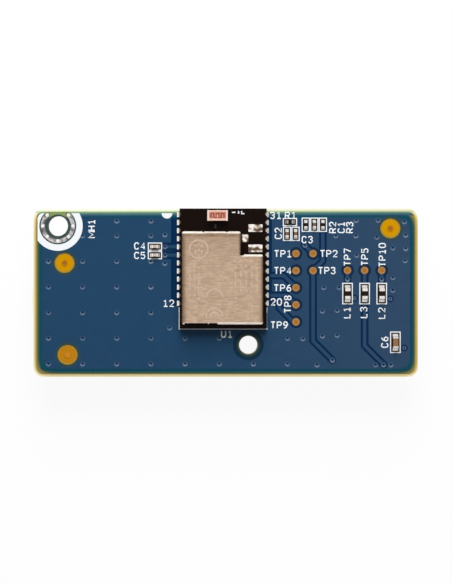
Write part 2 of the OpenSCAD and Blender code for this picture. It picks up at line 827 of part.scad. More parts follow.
// Copper of one side terminal: pad under the module and lining of the half hole, with the module at -X
module side_terminal() {
    linear_extrude(terminal_copper) difference() {
        translate([-terminal_heel, -terminal_width / 2]) square([terminal_heel, terminal_width]);
        circle(half_hole_radius - terminal_copper);
    }
    translate([0, 0, terminal_copper]) linear_extrude(module_thickness) difference() {
        intersection() {
            circle(half_hole_radius);
            translate([-1, -1]) square([1, 2]);
        }
        circle(half_hole_radius - terminal_copper);
    }
}

// One side joint: film on the land, ramp up the module's side and plug in the half hole
module side_joint() {
    translate([-terminal_heel, -terminal_width / 2, 0])
        cube([terminal_heel + terminal_toe, terminal_width, joint_thickness]);
    translate([0, 0, joint_thickness]) solder_ramp(terminal_toe, terminal_rise, terminal_width);
    linear_extrude(joint_thickness + terminal_rise) intersection() {
        circle(half_hole_radius - terminal_copper);
        translate([-1, -1]) square([1, 2]);
    }
}

module at_side_terminals(z) {
    for (y = terminal_rows) {
        translate([module_right, y, z]) children();
        translate([module_left, y, z]) rotate(180) children();
    }
}

module module_terminals() {
    color([0.85, 0.7, 0.4]) {
        at_side_terminals(z_chip) side_terminal();
        translate([0, 0, z_chip]) linear_extrude(terminal_copper) lower_land_shapes(0);
    }
}

module module_solder() {
    color([0.9, 0.9, 0.88]) {
        at_side_terminals(z_top + land_thickness) side_joint();
        translate([0, 0, z_top + land_thickness]) linear_extrude(joint_thickness) lower_land_shapes(0);
    }
}

module on_module(place) {
    translate([module_corner[0] + place[0], module_corner[1] + place[1], z_parts]) children();
}

module jack_lands() {
    color([0.85, 0.82, 0.76]) for (j = JACK_LANDS) on_module([module_width, module_length] + j[0])
        linear_extrude(2 * land_thickness) rounded_rect(j[1][0], j[1][1], can_radius);
}

// Box with rounded upper edges, open below its base plane by the depth given
module can_block(width, length, height, bend, depth) {
    translate([width / 2, length / 2, -depth]) intersection() {
        linear_extrude(height + depth) rounded_rect(width, length, bend);
        rotate([90, 0, 0]) linear_extrude(length + 1, center = true)
            can_profile(width, height + depth, bend);
        rotate([90, 0, 90]) linear_extrude(width + 1, center = true)
            can_profile(length, height + depth, bend);
    }
}

module can_profile(width, height, bend) {
    translate([-width / 2, 0]) square([width, height - bend]);
    translate([bend - width / 2, 0]) square([width - 2 * bend, height]);
    for (s = [-1, 1]) translate([s * (width / 2 - bend), height - bend]) circle(bend);
}

// Notched form of the shield, set in by a margin on every side
module can_form(margin, depth) {
    height = shield_height - margin;
    bend = shield_bend - margin;
    translate([margin, margin, 0]) {
        can_block(shield_width - 2 * margin, shield_length - notch_length - 2 * margin, height, bend, depth);
        can_block(shield_width - notch_width - 2 * margin, shield_length - 2 * margin, height, bend, depth);
    }
}

// Cuts between the folded walls: corner slits, relief cuts in the upper wall, opening in the lower wall
module can_cuts() {
    wall_top = shield_height - shield_bend;
    corners = [
        [shield_width, 0, -45], [shield_width, shield_length - notch_length, 45],
        [shield_width - notch_width, shield_length, 45], [0, shield_length, -45],
    ];
    for (c = corners) translate([c[0], c[1], -over]) rotate(c[2])
        cube([4 * shield_bend, slit_width, 2 * wall_top], center = true);
    translate([shield_width - notch_width, shield_length - notch_length, -over])
        translate([-slit_width / 2, -relief_depth, 0])
            cube([notch_relief + slit_width / 2, relief_depth + slit_width, shield_height + 2 * over]);
    for (x = relief_places) translate([x, shield_length, 0])
        rotate(45) cube([relief_side, relief_side, 4 * shield_height], center = true);
    translate([relief_places[0], shield_length - wall_step, -over])
        cube([relief_places[1] - relief_places[0], 2 * wall_step, shield_height]);
    difference() {
        translate([shield_bend, -over, -over])
            cube([wall_gap_length, wall_gap_depth + over, shield_height + 2 * over]);
        translate([wall_tooth_x, wall_gap_depth, 0])
            rotate(45) cube([wall_tooth, wall_tooth, 4 * shield_height], center = true);
    }
}

module shield_can() {
    color([0.76, 0.66, 0.56]) on_module([shield_inset_x, shield_inset_y]) difference() {
        can_form(0, 0);
        can_form(shield_sheet, 1);
        can_cuts();
    }
}

module at_aerial() {
    on_module([aerial_x + aerial_length / 2, module_length - aerial_y - aerial_width / 2]) children();
}

module aerial_core() {
    translate([0, 0, end_wall]) rounded_block(
        [aerial_length - 2 * end_wall, aerial_width - 2 * end_wall, aerial_height - 2 * end_wall],
        chip_radius - end_wall
    );
}

module aerial_body() {
    color([0.93, 0.78, 0.72]) at_aerial() aerial_core();
}

module aerial_ends() {
    color("silver") at_aerial() difference() {
        rounded_block([aerial_length, aerial_width, aerial_height], chip_radius);
        aerial_core();
        translate([0, 0, aerial_height / 2])
            cube([aerial_length - 2 * aerial_end, aerial_width + 1, aerial_height + 1], center = true);
    }
}

// Pieces under the shield

module radio_chip() {
    color([0.12, 0.12, 0.12]) on_module(radio_chip_place) translate([0, 0, lead_thickness])
        linear_extrude(radio_chip_height - lead_thickness)
            rounded_rect(radio_chip_side, radio_chip_side, can_radius);
}

module radio_chip_leads() {
    color("silver") on_module(radio_chip_place) linear_extrude(lead_thickness) {
        square(thermal_side, center = true);
        for (turn = [0:90:270], k = [0:lead_count - 1]) rotate(turn)
            translate([(k - (lead_count - 1) / 2) * lead_pitch, (radio_chip_side - lead_size[1]) / 2])
                square(lead_size, center = true);
    }
}

module radio_crystal() {
    color("silver") on_module(crystal_place) rounded_block(crystal_size, can_radius);
}

module sleep_crystal() {
    color("silver") on_module(sleep_crystal_place) rounded_block(sleep_crystal_size, can_radius);
}

module power_inductor() {
    color([0.3, 0.3, 0.32]) on_module(inductor_place) rounded_block(inductor_size, can_radius);
}

module inner_capacitors() {
    color(capacitor_colour) for (p = inner_chips) on_module(p) rounded_block(inner_size, inner_radius);
}

// Host socket

module tail_land_shapes(grow) {
    translate([socket_x, socket_y]) for (x = contact_columns, s = [-1, 1])
        translate([x, s * (tail_end + tail_land_toe - tail_land_length / 2)])
            square([tail_land_width + 2 * grow, tail_land_length + 2 * grow], center = true);
}

module socket_lands() {
    color([0.8, 0.55, 0.25]) translate([0, 0, z_under - land_thickness])
        linear_extrude(land_thickness) tail_land_shapes(0);
}

module socket_solder() {
    color([0.9, 0.9, 0.88]) translate([socket_x, socket_y, z_under - land_thickness]) mirror([0, 0, 1])
        for (x = contact_columns, s = [0, 180]) rotate(s) translate([x, tail_end, 0]) {
            translate([-contact_width / 2, tail_land_toe - tail_land_length, 0])
                cube([contact_width, tail_land_length, joint_thickness]);
            translate([0, 0, joint_thickness]) rotate(90)
                solder_ramp(tail_land_toe, contact_sheet * 0.8, contact_width);
        }
}

module socket_housing() {
    lead_in = 0.35;
    color([0.1, 0.1, 0.11]) translate([socket_x, socket_y, 0]) difference() {
        linear_extrude(socket_height) rounded_rect(socket_length, socket_width, socket_radius);
        for (x = contact_columns, s = [-1, 1]) translate([x, s * row_offset, 0]) {
            translate([0, 0, socket_height / 2])
                cube([cavity_side, cavity_side, socket_height + 1], center = true);
            translate([0, 0, -over]) cylinder(r1 = cavity_side * 0.75, r2 = cavity_side * 0.5, h = lead_in);
        }
    }
}

// One contact: a blade on the outer wall of its cavity, folded out into a flat tail
module socket_contact() {
    blade_out = row_offset + cavity_side / 2;
    blade_foot = 0.8;
    blade_top = z_tail + contact_sheet;
    rotate([90, 0, 90]) linear_extrude(contact_width, center = true) {
        translate([blade_out - contact_sheet, blade_foot])
            square([contact_sheet, blade_top - contact_sheet - blade_foot]);
        translate([blade_out, z_tail]) square([tail_end - blade_out, contact_sheet]);
        intersection() {
            translate([blade_out, z_tail]) circle(contact_sheet);
            translate([blade_out - contact_sheet, z_tail]) square(contact_sheet);
        }
    }
}

module socket_contacts() {
    color([0.85, 0.7, 0.35]) translate([socket_x, socket_y, 0])
        for (x = contact_columns, s = [0, 180]) rotate(s) translate([x, 0, 0]) socket_contact();
}

board();
solder_mask_top();
solder_mask_under();
white_ink();
test_pads();
fiducial_marks();
mounting_ring();
ring_solder();
chip_lands();
chip_solder();
module_lands();
module_solder();
module_board();
module_terminals();
jack_lands();
shield_can();
aerial_body();
aerial_ends();
radio_chip();
radio_chip_leads();
radio_crystal();
sleep_crystal();
power_inductor();
inner_capacitors();
socket_housing();
socket_contacts();
socket_lands();
socket_solder();
for (c = CHIPS) {
    chip_body(c);
    chip_ends(c);
}
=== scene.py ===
"""Looks of a radio daughter card, laid out as a Blender add-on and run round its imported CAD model.

Metres, in the CAD model's frame: +X along the card, +Y to the aerial's edge, +Z out of the component side.
"""

import json
import math
from collections import namedtuple

import bmesh
import bpy
from mathutils import Matrix, Vector


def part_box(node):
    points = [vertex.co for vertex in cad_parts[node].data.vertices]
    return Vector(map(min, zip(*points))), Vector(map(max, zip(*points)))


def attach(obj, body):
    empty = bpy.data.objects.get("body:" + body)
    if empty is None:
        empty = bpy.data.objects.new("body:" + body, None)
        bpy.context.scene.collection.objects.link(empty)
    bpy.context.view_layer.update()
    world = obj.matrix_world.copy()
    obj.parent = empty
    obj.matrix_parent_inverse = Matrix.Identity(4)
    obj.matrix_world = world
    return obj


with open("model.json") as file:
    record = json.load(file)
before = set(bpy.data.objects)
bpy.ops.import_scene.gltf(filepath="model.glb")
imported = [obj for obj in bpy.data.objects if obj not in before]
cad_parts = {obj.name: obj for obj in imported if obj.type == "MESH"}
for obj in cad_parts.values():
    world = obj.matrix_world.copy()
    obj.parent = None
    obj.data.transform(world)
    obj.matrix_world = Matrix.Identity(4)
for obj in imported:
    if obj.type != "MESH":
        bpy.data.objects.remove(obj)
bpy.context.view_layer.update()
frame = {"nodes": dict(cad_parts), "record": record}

bl_info = {
    "name": "Radio Card Looks",
    "version": (1, 0, 0),
    "blender": (4, 5, 0),
    "location": "View3D > Sidebar > Radio Card",
    "description": "Finishes, printed marks and studio for a radio daughter card",
    "category": "Object",
}

MM = 0.001
BODY = "root"
SLOT_OF = {part["node"]: part["material_slot"] for part in frame["record"]["subparts"]}

# Heights, outlines and holes, read from the frame
BOARD_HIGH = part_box("board")[1]
HALF_LENGTH = BOARD_HIGH.x
HALF_WIDTH = BOARD_HIGH.y
MASK_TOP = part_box("solder_mask_top")[1].z
MASK_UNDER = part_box("solder_mask_under")[0].z
MODULE_LOW, MODULE_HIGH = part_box("module_board")
SHIELD_LOW, SHIELD_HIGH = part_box("shield_can")
AERIAL_LOW, AERIAL_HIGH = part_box("aerial_body")
LANDS_LOW, LANDS_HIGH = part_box("jack_lands")
PADS_LOW, PADS_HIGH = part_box("test_pads")
MOUNTS = {mount["name"]: mount for mount in frame["record"]["mounts"]}
MOUNTING_HOLE = Vector(MOUNTS["mounting_hole"]["pos_m"])
LOCATING_HOLE = Vector(MOUNTS["locating_hole"]["pos_m"])
LOCATING_RADIUS = MOUNTS["locating_hole"]["dims"]["r_mm"] * MM

# Board: copper under the mask, openings of the mask, sizes of flat spots, corners of the rings laid on it
MASK_STEP = 0.03 * MM
MASK_FLOOR = MASK_TOP - MASK_STEP
UNDER_FLOOR = MASK_UNDER + MASK_STEP
MOUNTING_WINDOW = 2.8 * MM
LOCATING_SHADE = 2.4 * MM
FIDUCIAL_WINDOW = 1.5 * MM
PAD_SIZES = (0.5 * MM, 2.0 * MM)
VIA_SIZES = (0.3 * MM, 0.5 * MM)
LONE_VIA_SIZES = (0.9 * MM, 1.1 * MM)
LARGE_CHIP = 1.3 * MM
FILM_GAP = 0.01 * MM
SAME_PLACE = 0.1 * MM
SAME_CORNER = 0.0005 * MM
VIA_CORNERS = 16
PAD_CORNERS = 28

# Pale rim of the board, painted light where light gets in at its edge: how far it sits right and low, its
# turn, its softness at corners, where it yellows
RIM_SHIFT = Vector((0.2, 0.16)) * MM
RIM_TURN = 0.0028
CORNER_BLEND = 3.2 * MM
YELLOW_START = -8.0 * MM

# Bright lips of the shield, where painted highlights lie along its folded edges: edge, way inward, start and
# end along the edge
LIP_WIDTH = 0.35 * MM
NOTCH_WALL = SHIELD_HIGH.x - 3.3 * MM
NOTCH_END = SHIELD_HIGH.y - 3.4 * MM
SHIELD_LIPS = (
    (SHIELD_HIGH.y, -1, SHIELD_LOW.x, SHIELD_LOW.x + 3.3 * MM),
    (SHIELD_HIGH.y, -1, SHIELD_LOW.x + 6.7 * MM, NOTCH_WALL),
    (NOTCH_END, -1, NOTCH_WALL + 0.2 * MM, SHIELD_HIGH.x),
    (SHIELD_LOW.y, 1, SHIELD_LOW.x + 5.2 * MM, SHIELD_HIGH.x),
)

# Surfaces of the finishes, with the grain's size and relief in millimetres
Surface = namedtuple("Surface", "metallic specular roughness spread grain contrast relief stretch",
                     defaults=((1, 1, 1),))
SURFACES = {
    "laminate": Surface(0.0, 0.06, 0.5, 0.1, 0.35, 0.1, 0.004, (1, 1, 0.15)),
    "solder_mask": Surface(0.0, 0.08, 0.34, 0.12, 1.6, 0.1, 0.004),
    "via_copper": Surface(0.0, 0.08, 0.35, 0.1, 0.2, 0.3, 0.004),
    "white_ink": Surface(0.0, 0.15, 0.6, 0.1, 0.12, 0.05, 0.003),
    "bare_copper": Surface(0.5, 0.1, 0.4, 0.2, 0.3, 0.22, 0.004),
    "worn_copper": Surface(0.5, 0.1, 0.4, 0.2, 0.3, 0.3, 0.004),
    "pad_well": Surface(0.0, 0.1, 0.4, 0.1, 0.2, 0.3, 0.003),
    "window_rim": Surface(0.0, 0.06, 0.5, 0.1, 0.2, 0.15, 0.003),
    "chip_shade_film": Surface(0.0, 0.15, 0.3, 0.2, 0.3, 0.5, 0.006),
    "chip_tin": Surface(0.85, 0.5, 0.35, 0.2, 0.22, 0.35, 0.006),
    "chip_joints": Surface(0.85, 0.5, 0.35, 0.2, 0.3, 0.35, 0.01),
    "dull_ring": Surface(0.8, 0.5, 0.35, 0.2, 0.2, 0.3, 0.006),
    "bright_solder": Surface(0.85, 0.5, 0.26, 0.2, 0.28, 0.2, 0.012),
    "joint_solder": Surface(0.8, 0.5, 0.28, 0.2, 0.3, 0.3, 0.012),
    "streaked_solder": Surface(0.7, 0.5, 0.3, 0.25, 0.3, 0.5, 0.02, (2.4, 0.7, 1)),
    "terminal_plate": Surface(0.7, 0.5, 0.35, 0.1, 0.2, 0.2, 0.003),
    "gold_plate": Surface(1.0, 0.5, 0.25, 0.1, 0.2, 0.1, 0.003),
    "shield_tin": Surface(0.7, 0.5, 0.42, 0.12, 0.45, 0.46, 0.004, (3.0, 0.5, 1)),
    "etched_tin": Surface(0.6, 0.5, 0.5, 0.1, 0.4, 0.3, 0.004),
    "black_laminate": Surface(0.0, 0.06, 0.5, 0.1, 0.5, 0.3, 0.004),
    "fired_glaze": Surface(0.0, 0.1, 0.42, 0.1, 0.12, 0.14, 0.004),
    "chip_ceramic": Surface(0.0, 0.2, 0.42, 0.1, 0.12, 0.14, 0.004),
    "pale_ceramic": Surface(0.0, 0.2, 0.42, 0.1, 0.12, 0.3, 0.004),
    "aerial_ceramic": Surface(0.0, 0.15, 0.42, 0.1, 0.12, 0.12, 0.004),
    "moulded_plastic": Surface(0.0, 0.3, 0.5, 0.1, 0.15, 0.15, 0.006),
}

# Lettering: words, middle on the board in millimetres, turn in degrees
LABELS = (
    ("MH1", (-19.92, 9.58), 90),
    ("C4", (-12.75, 6.95), 0),
    ("C5", (-12.75, 5.55), 0),
    ("12", (-8.48, -1.58), 0),
    ("U1", (0.18, -6.14), 0),
    ("31", (7.45, 11.5), 0),
    ("R1", (9.66, 11.5), 0),
    ("C2", (7.84, 8.83), 90),
    ("C3", (12.16, 7.9), 0),
    ("R2", (15.93, 9.71), 90),
    ("C1", (17.2, 9.71), 90),
    ("R3", (18.46, 9.71), 90),
    ("TP1", (8.53, 5.8), 0),
    ("TP2", (15.35, 5.81), 0),
    ("TP4", (8.5, 3.29), 0),
    ("TP3", (15.06, 3.29), 0),
    ("TP6", (8.48, 0.72), 0),
    ("20", (7.54, -1.36), 0),
    ("TP8", (9.25, -1.7), 90),
    ("TP9", (7.99, -4.8), 0),
    ("TP7", (18.12, 5.3), 90),
    ("TP5", (20.7, 5.33), 90),
    ("TP10", (23.3, 5.62), 90),
    ("L1", (18.06, -2.96), 90),
    ("L3", (20.56, -2.92), 90),
    ("L2", (23.22, -3.04), 90),
    ("C6", (23.67, -7.35), 90),
)

# Lettering of the lower side, read from below
UNDER_LABELS = (
    ("J1", (0.0, 5.4), 0),
    ("1", (-9.7, -2.3), 0),
    ("2", (-9.7, 3.3), 0),
    ("15", (10.2, -2.3), 0),
    ("16", (10.2, 3.3), 0),
)

# Strokes of the letters, in a box of one by one
ROUND = ((0, 0.25), (0, 0.75), (0.25, 1), (0.75, 1), (1, 0.75), (1, 0.25), (0.75, 0), (0.25, 0), (0, 0.25))
BOWL = ((0, 0), (0, 1), (0.7, 1), (1, 0.86), (1, 0.62), (0.7, 0.47), (0, 0.47))
GLYPHS = {
    "0": (ROUND,),
    "1": (((0.15, 0.8), (0.55, 1), (0.55, 0)), ((0.1, 0), (1, 0))),
    "2": (((0, 0.78), (0.25, 1), (0.75, 1), (1, 0.78), (0.95, 0.58), (0, 0), (1, 0)),),
    "3": (((0, 0.85), (0.25, 1), (0.75, 1), (0.97, 0.8), (0.75, 0.54), (0.4, 0.54)),
          ((0.75, 0.54), (1, 0.27), (0.75, 0), (0.25, 0), (0, 0.15))),
    "4": (((0.75, 0), (0.75, 1), (0, 0.28), (1, 0.28)),),
    "5": (((0.95, 1), (0.1, 1), (0.05, 0.58), (0.7, 0.62), (1, 0.33), (0.75, 0), (0.25, 0), (0, 0.15)),),
    "6": (((0.85, 1), (0.35, 0.85), (0, 0.35), (0.25, 0), (0.75, 0), (1, 0.3), (0.75, 0.58), (0.1, 0.5)),),
    "7": (((0, 1), (1, 1), (0.35, 0)),),
    "8": (((0.25, 0.54), (0.03, 0.78), (0.25, 1), (0.75, 1), (0.97, 0.78), (0.75, 0.54), (0.25, 0.54),
           (0, 0.27), (0.25, 0), (0.75, 0), (1, 0.27), (0.75, 0.54)),),
    "9": (((0.15, 0), (0.65, 0.15), (1, 0.65), (0.75, 1), (0.25, 1), (0, 0.7), (0.25, 0.42), (0.9, 0.5)),),
    "C": (((1, 0.8), (0.75, 1), (0.25, 1), (0, 0.75), (0, 0.25), (0.25, 0), (0.75, 0), (1, 0.2)),),
    "H": (((0, 0), (0, 1)), ((1, 0), (1, 1)), ((0, 0.5), (1, 0.5))),
    "J": (((0.85, 1), (0.85, 0.25), (0.6, 0), (0.25, 0), (0, 0.25)),),
    "L": (((0, 1), (0, 0), (0.9, 0)),),
    "M": (((-0.25, 0), (-0.25, 1), (0.5, 0.3), (1.25, 1), (1.25, 0)),),
    "P": (BOWL,),
    "R": (BOWL, ((0.55, 0.47), (1, 0))),
    "T": (((0, 1), (1, 1)), ((0.5, 1), (0.5, 0))),
    "U": (((0, 1), (0, 0.25), (0.25, 0), (0.75, 0), (1, 0.25), (1, 1)),),
}

# Folded line on the aerial, its feed, and the dashes printed beside its right end in millimetres
FOLDS = 6
FOLD_PITCH = 0.38 * MM
FOLD_REACH = 0.3 * MM
FEED_OFFSET = (-0.33 * MM, 0.75 * MM)
FEED_SIZE = (0.3 * MM, 0.64 * MM)
FEED_ROUNDING = 0.05 * MM
FILM_ROUNDING = 0.1 * MM
PRINT_DASHES = (
    ((0.64, 0.5), (1.14, 0.5)),
    ((1.62, 0.3), (1.62, 0.7)),
    ((2.06, 0.7), (2.06, 0.3), (2.46, 0.3)),
)

# Etched rings in millimetres from the shield's middle: middle, radius, share of a full turn
ETCHED_CORNERS = 40
ETCHED_RINGS = (
    ((-3.5, 4.2), 1.35, 1), ((-1.2, -2.9), 1.2, 0.5), ((-1.2, -5.7), 1.2, 0.5), ((-1.2, -5.7), 0.6, 0.5),
)

# Etched columns of dashes in millimetres from the shield's middle: place, upper end, lower end
DASH_LENGTH = 0.3
DASH_GROWTH = 0.14
DASH_LENGTHS = 5
DASH_GAP = 0.5
ETCHED_COLUMNS = (
    (-3.95, 4.9, 3.6), (-3.5, 5.1, 3.2), (-3.05, 4.9, 3.6),
    (-4.8, 2.2, -3.8), (-4.1, 2.2, -4.4), (-3.5, 1.6, -3.2),
    (1.9, 2.6, -3.2), (2.7, 2.8, -2.4), (3.5, 2.8, -2.8), (4.3, 2.6, -3.0), (5.1, 2.2, -2.2),
    (4.4, -4.6, -6.2), (3.8, -4.9, -6.0),
)

# Stage: floor, surroundings, the photograph's size and scale, camera
FLOOR_SIDE = 2.0
FLOOR_ROUGHNESS = 0.9
FLOOR_WHITE = 0.93
AMBIENT = 0.2
IMAGE_WIDTH = 452
IMAGE_HEIGHT = 584
PIXELS_PER_MM = 6.725
BOARD_MIDDLE_PIXEL = (225.55, 292.85)
LENS = 100.0
SENSOR = 36.0
NEAREST = 0.01

# Lamps: name, place, side in metres, watts
LAMPS = (
    ("upper_softbox", (0.0, 0.392, 0.285), 0.33, 3.5),
    ("lower_softbox", (0.0, -0.36, 0.3), 0.3, 0.1),
)


# Sizes and colours

def srgb(red, green, blue):
    """Linear colour of an sRGB one that is given in steps of 255."""
    shares = (value / 255 for value in (red, green, blue))
    return tuple(s / 12.92 if s <= 0.04045 else ((s + 0.055) / 1.055) ** 2.4 for s in shares)


def size_of(name, description, millimetres):
    """A length that the user can change."""
    return bpy.props.FloatProperty(name=name, description=description, default=millimetres * MM,
                                   min=0.0, precision=6, subtype="DISTANCE", unit="LENGTH")


def colour_of(name, description, red, green, blue):
    """A colour that the user can change."""
    return bpy.props.FloatVectorProperty(name=name, description=description, size=3, min=0.0, max=1.0,
                                         default=srgb(red, green, blue), subtype="COLOR")


class CardSizes(bpy.types.PropertyGroup):
    """Sizes of the printed marks and the thin films on the card."""

    letter_height: size_of("Letter height", "Height of the printed letters", 1.12)
    letter_width: size_of("Letter width", "Width of a printed letter", 0.8)
    letter_pitch: size_of("Letter pitch", "Distance from one letter to the next", 0.935)
    letter_stroke: size_of("Letter stroke", "Width of the letters' strokes", 0.2)
    frame_gap: size_of("Frame gap", "Gap between the socket's lands and the line printed round them", 0.4)
    ink_height: size_of("Ink height", "Height of the ink above the solder mask", 0.02)
    via_rim: size_of("Via rim", "Outer diameter of the rim round a via", 0.78)
    lone_rim: size_of("Lone via rim", "Outer diameter of the rim round a via without copper beside it", 0.6)
    via_mouth: size_of("Via mouth", "Inner diameter of the rim round a via", 0.3)
    pad_rim: size_of("Pad rim", "Width of the paler rim on a test pad", 0.2)
    # The dark ring round a test pad is painted shade
    pad_well: size_of("Pad well", "Width of the dark ring round a test pad", 0.24)
    window_rim: size_of("Window rim", "Width of the pale rim in a fiducial mark's window", 0.24)
    film_height: size_of("Film height", "Height of the flux film and of other thin films", 0.008)
    # The films round the chips are dark sheets of painted shade
    small_film: size_of("Small film", "Length of the flux film round a small chip", 1.8)
    small_film_width: size_of("Small film width", "Width of the flux film round a small chip", 0.92)
    large_film: size_of("Large film", "Length of the flux film round a large chip", 2.9)
    large_film_width: size_of("Large film width", "Width of the flux film round a large chip", 1.27)
    etch_stroke: size_of("Etched stroke", "Width of the etched lines on the shield", 0.3)
    print_stroke: size_of("Aerial print", "Width of the line printed on the aerial", 0.2)


class CardColours(bpy.types.PropertyGroup):
    """Colours of the card's finishes."""

    mask: colour_of("Solder mask", "Solder mask over copper", 33, 67, 98)
    mask_right: colour_of("Right solder mask", "Solder mask over copper at the card's right end", 47, 71, 98)
    groove: colour_of("Groove", "Solder mask over bare laminate", 0, 38, 74)
    band: colour_of("Edge band", "Solder mask over the copper-free band", 6, 72, 88)
    fade: colour_of("Edge fade", "Solder mask between its outer edge and the band", 58, 78, 64)
    mask_edge: colour_of("Mask edge", "Thin outer edge of the solder mask", 148, 135, 76)
    # Painted light: the mask's upper edge and the mask just inside it, lit from above
    upper_edge: colour_of("Upper edge", "Outer edge of the solder mask at the upper side", 122, 158, 120)
    upper_fade: colour_of("Upper fade", "Solder mask a little further in from the upper side", 60, 103, 115)
    hole_rim: colour_of("Hole rim", "Solder mask and laminate round the mounting hole", 62, 78, 77)
    hole_shade: colour_of("Hole shade", "Solder mask beside the locating hole", 24, 50, 52)
    # Mask over bare laminate in the ring's notch, paler with painted light from the upper edge
    notch: colour_of("Ring notch", "Solder mask in the gap of the mounting ring", 128, 150, 92)
    rim: colour_of("Rim", "Laminate at the edge of its faces", 250, 240, 204)
    gold_rim: colour_of("Gold rim", "Laminate just inside its edge", 206, 180, 108)
    cut_edge: colour_of("Cut edge", "Laminate on its upright faces", 194, 171, 114)
    # Painted light along the card's upper side
    upper_rim: colour_of("Upper rim", "Laminate at the card's upper side", 246, 252, 216)
    amber: colour_of("Amber", "Bare laminate in the fiducial windows", 206, 146, 0)
    window: colour_of("Window rim", "Outer rim of the fiducial windows", 166, 136, 62)
    ink: colour_of("Ink", "White print", 242, 246, 250)
    copper: colour_of("Copper", "Bare copper pads", 175, 111, 40)
    worn_copper: colour_of("Worn copper", "Paler rim of the copper pads", 166, 134, 98)
    dot: colour_of("Fiducial", "Copper of the fiducial marks", 168, 100, 28)
    pale_dot: colour_of("Pale fiducial", "Copper of the lowest fiducial mark", 198, 130, 40)
    # Painted shade in the rings round the test pads; also darkens the solder past the terminals' toes
    well: colour_of("Well", "Dark ring round the copper pads", 32, 40, 47)
    tin: colour_of("Tin", "Tinned metal of the chip ends", 232, 227, 223)
    ring: colour_of("Ring", "Dull metal of the mounting ring", 178, 174, 176)
    solder: colour_of("Solder", "Bright solder", 248, 243, 238)
    chip_solder: colour_of("Chip solder", "Solder at the chips' ends", 238, 234, 231)
    solder_shade: colour_of("Solder slopes", "Solder where it stands steep", 84, 74, 66)
    dull_streak: colour_of("Dull streaks", "Duller solder on the module's bare lands", 186, 166, 148)
    # Darkest solder of the bare lands: the dark of their streaks and the painted shade across their middles
    streak_hollow: colour_of("Streak hollows", "Hollows in the solder of the bare lands", 96, 76, 62)
    gold: colour_of("Gold", "Gold plated contacts", 226, 186, 106)
    # Also the painted shade inside the terminals' half holes
    edge_plate: colour_of("Terminal", "Tarnished top of the module's terminals", 52, 38, 26)
    shield: colour_of("Shield", "Tarnished tin of the shield", 204, 176, 151)
    # Also the painted shade on the shield's side bends and near its left and right edges
    shield_band: colour_of("Shield band", "Browner band below the shield's upper bend", 136, 108, 86)
    # Painted highlight on the shield's bends and lips
    shield_bend: colour_of("Shield bends", "Bright bends of the shield", 247, 239, 230)
    module: colour_of("Module board", "Black board of the radio module", 17, 8, 5)
    resistor: colour_of("Resistor", "Glazed face of a resistor", 24, 16, 12)
    capacitor: colour_of("Capacitor", "Ceramic of a capacitor", 122, 98, 80)
    pale_capacitor: colour_of("Pale capacitor", "Ceramic of the pale capacitors", 198, 176, 160)
    corner_capacitor: colour_of("Corner capacitor", "Ceramic of the large capacitor", 146, 108, 74)
    ferrite: colour_of("Ferrite", "Fired ferrite of a bead", 26, 18, 13)
    ceramic: colour_of("Aerial", "Ceramic of the aerial", 238, 202, 187)
    aerial_wash: colour_of("Aerial wash", "Pink wash on the aerial's face", 190, 116, 94)
    aerial_print: colour_of("Aerial print", "Line printed on the aerial", 142, 68, 52)
    # Painted shade: the colour of the dark sheets that stand for the shade round the chips
    flux: colour_of("Flux", "Flux left round the chips", 32, 25, 20)
    # Painted highlight on the lower side of the via rims
    via: colour_of("Via", "Solder mask drawn thin on the lower side of a via", 128, 142, 162)
    plastic: colour_of("Plastic", "Moulded plastic of the socket", 26, 26, 28)
    floor: colour_of("Floor", "Studio floor", 250, 250, 250)


WHITE = (1.0, 1.0, 1.0)
BLACK = (0.0, 0.0, 0.0)


def tone(first, second=BLACK, share=0.0):
    """A colour, given by its name or its value, with a share of a second one mixed in."""
    colours = bpy.context.scene.card_colours
    ends = (getattr(colours, end) if isinstance(end, str) else end for end in (first, second))
    return tuple(a + (b - a) * share for a, b in zip(*ends))


# Shader building

class Nodes:
    """A shader tree that is being built; what a node takes is a socket, a number or a colour."""

    def __init__(self, tree):
        self.tree = tree

    def feed(self, socket, value):
        """Links a socket to the input, or sets the input's own value."""
        if isinstance(value, bpy.types.NodeSocket):
            self.tree.links.new(value, socket)
        elif socket.type == "RGBA":
            socket.default_value = (*tone(value), 1.0)
        else:
            socket.default_value = value

    def add(self, kind, inputs=(), **settings):
        """Adds a node and returns its outputs."""
        made = self.tree.nodes.new("ShaderNode" + kind)
        for name, value in settings.items():
            setattr(made, name, value)
        for name, value in dict(inputs).items():
            self.feed(made.inputs[name], value)
        return made.outputs

    def sum(self, operation, *values, clamp=False):
        return self.add("Math", enumerate(values), operation=operation, use_clamp=clamp)[0]

    def times(self, first, second):
        return self.sum("MULTIPLY", first, second)

    def apart(self, value, middle):
        """Distance between two values."""
        return self.sum("ABSOLUTE", self.sum("SUBTRACT", value, middle))

    def mix(self, factor, first, second):
        return self.add("Mix", {0: factor, 6: first, 7: second}, data_type="RGBA")[2]

    def step(self, value, start, end):
        """Nought before the start and one past the end, with an even rise between them."""
        return self.add("MapRange", {"Value": value, "From Min": start, "From Max": end})[0]

    def rise(self, value, edge, start, end):
        """A step whose start and end are millimetres past an edge."""
        return self.step(value, edge + start * MM, edge + end * MM)

    def place(self):
        return self.add("TexCoord")["Object"]

    def position(self):
        """The x, y and z of the shaded point, in metres."""
        return self.add("SeparateXYZ", {0: self.place()})


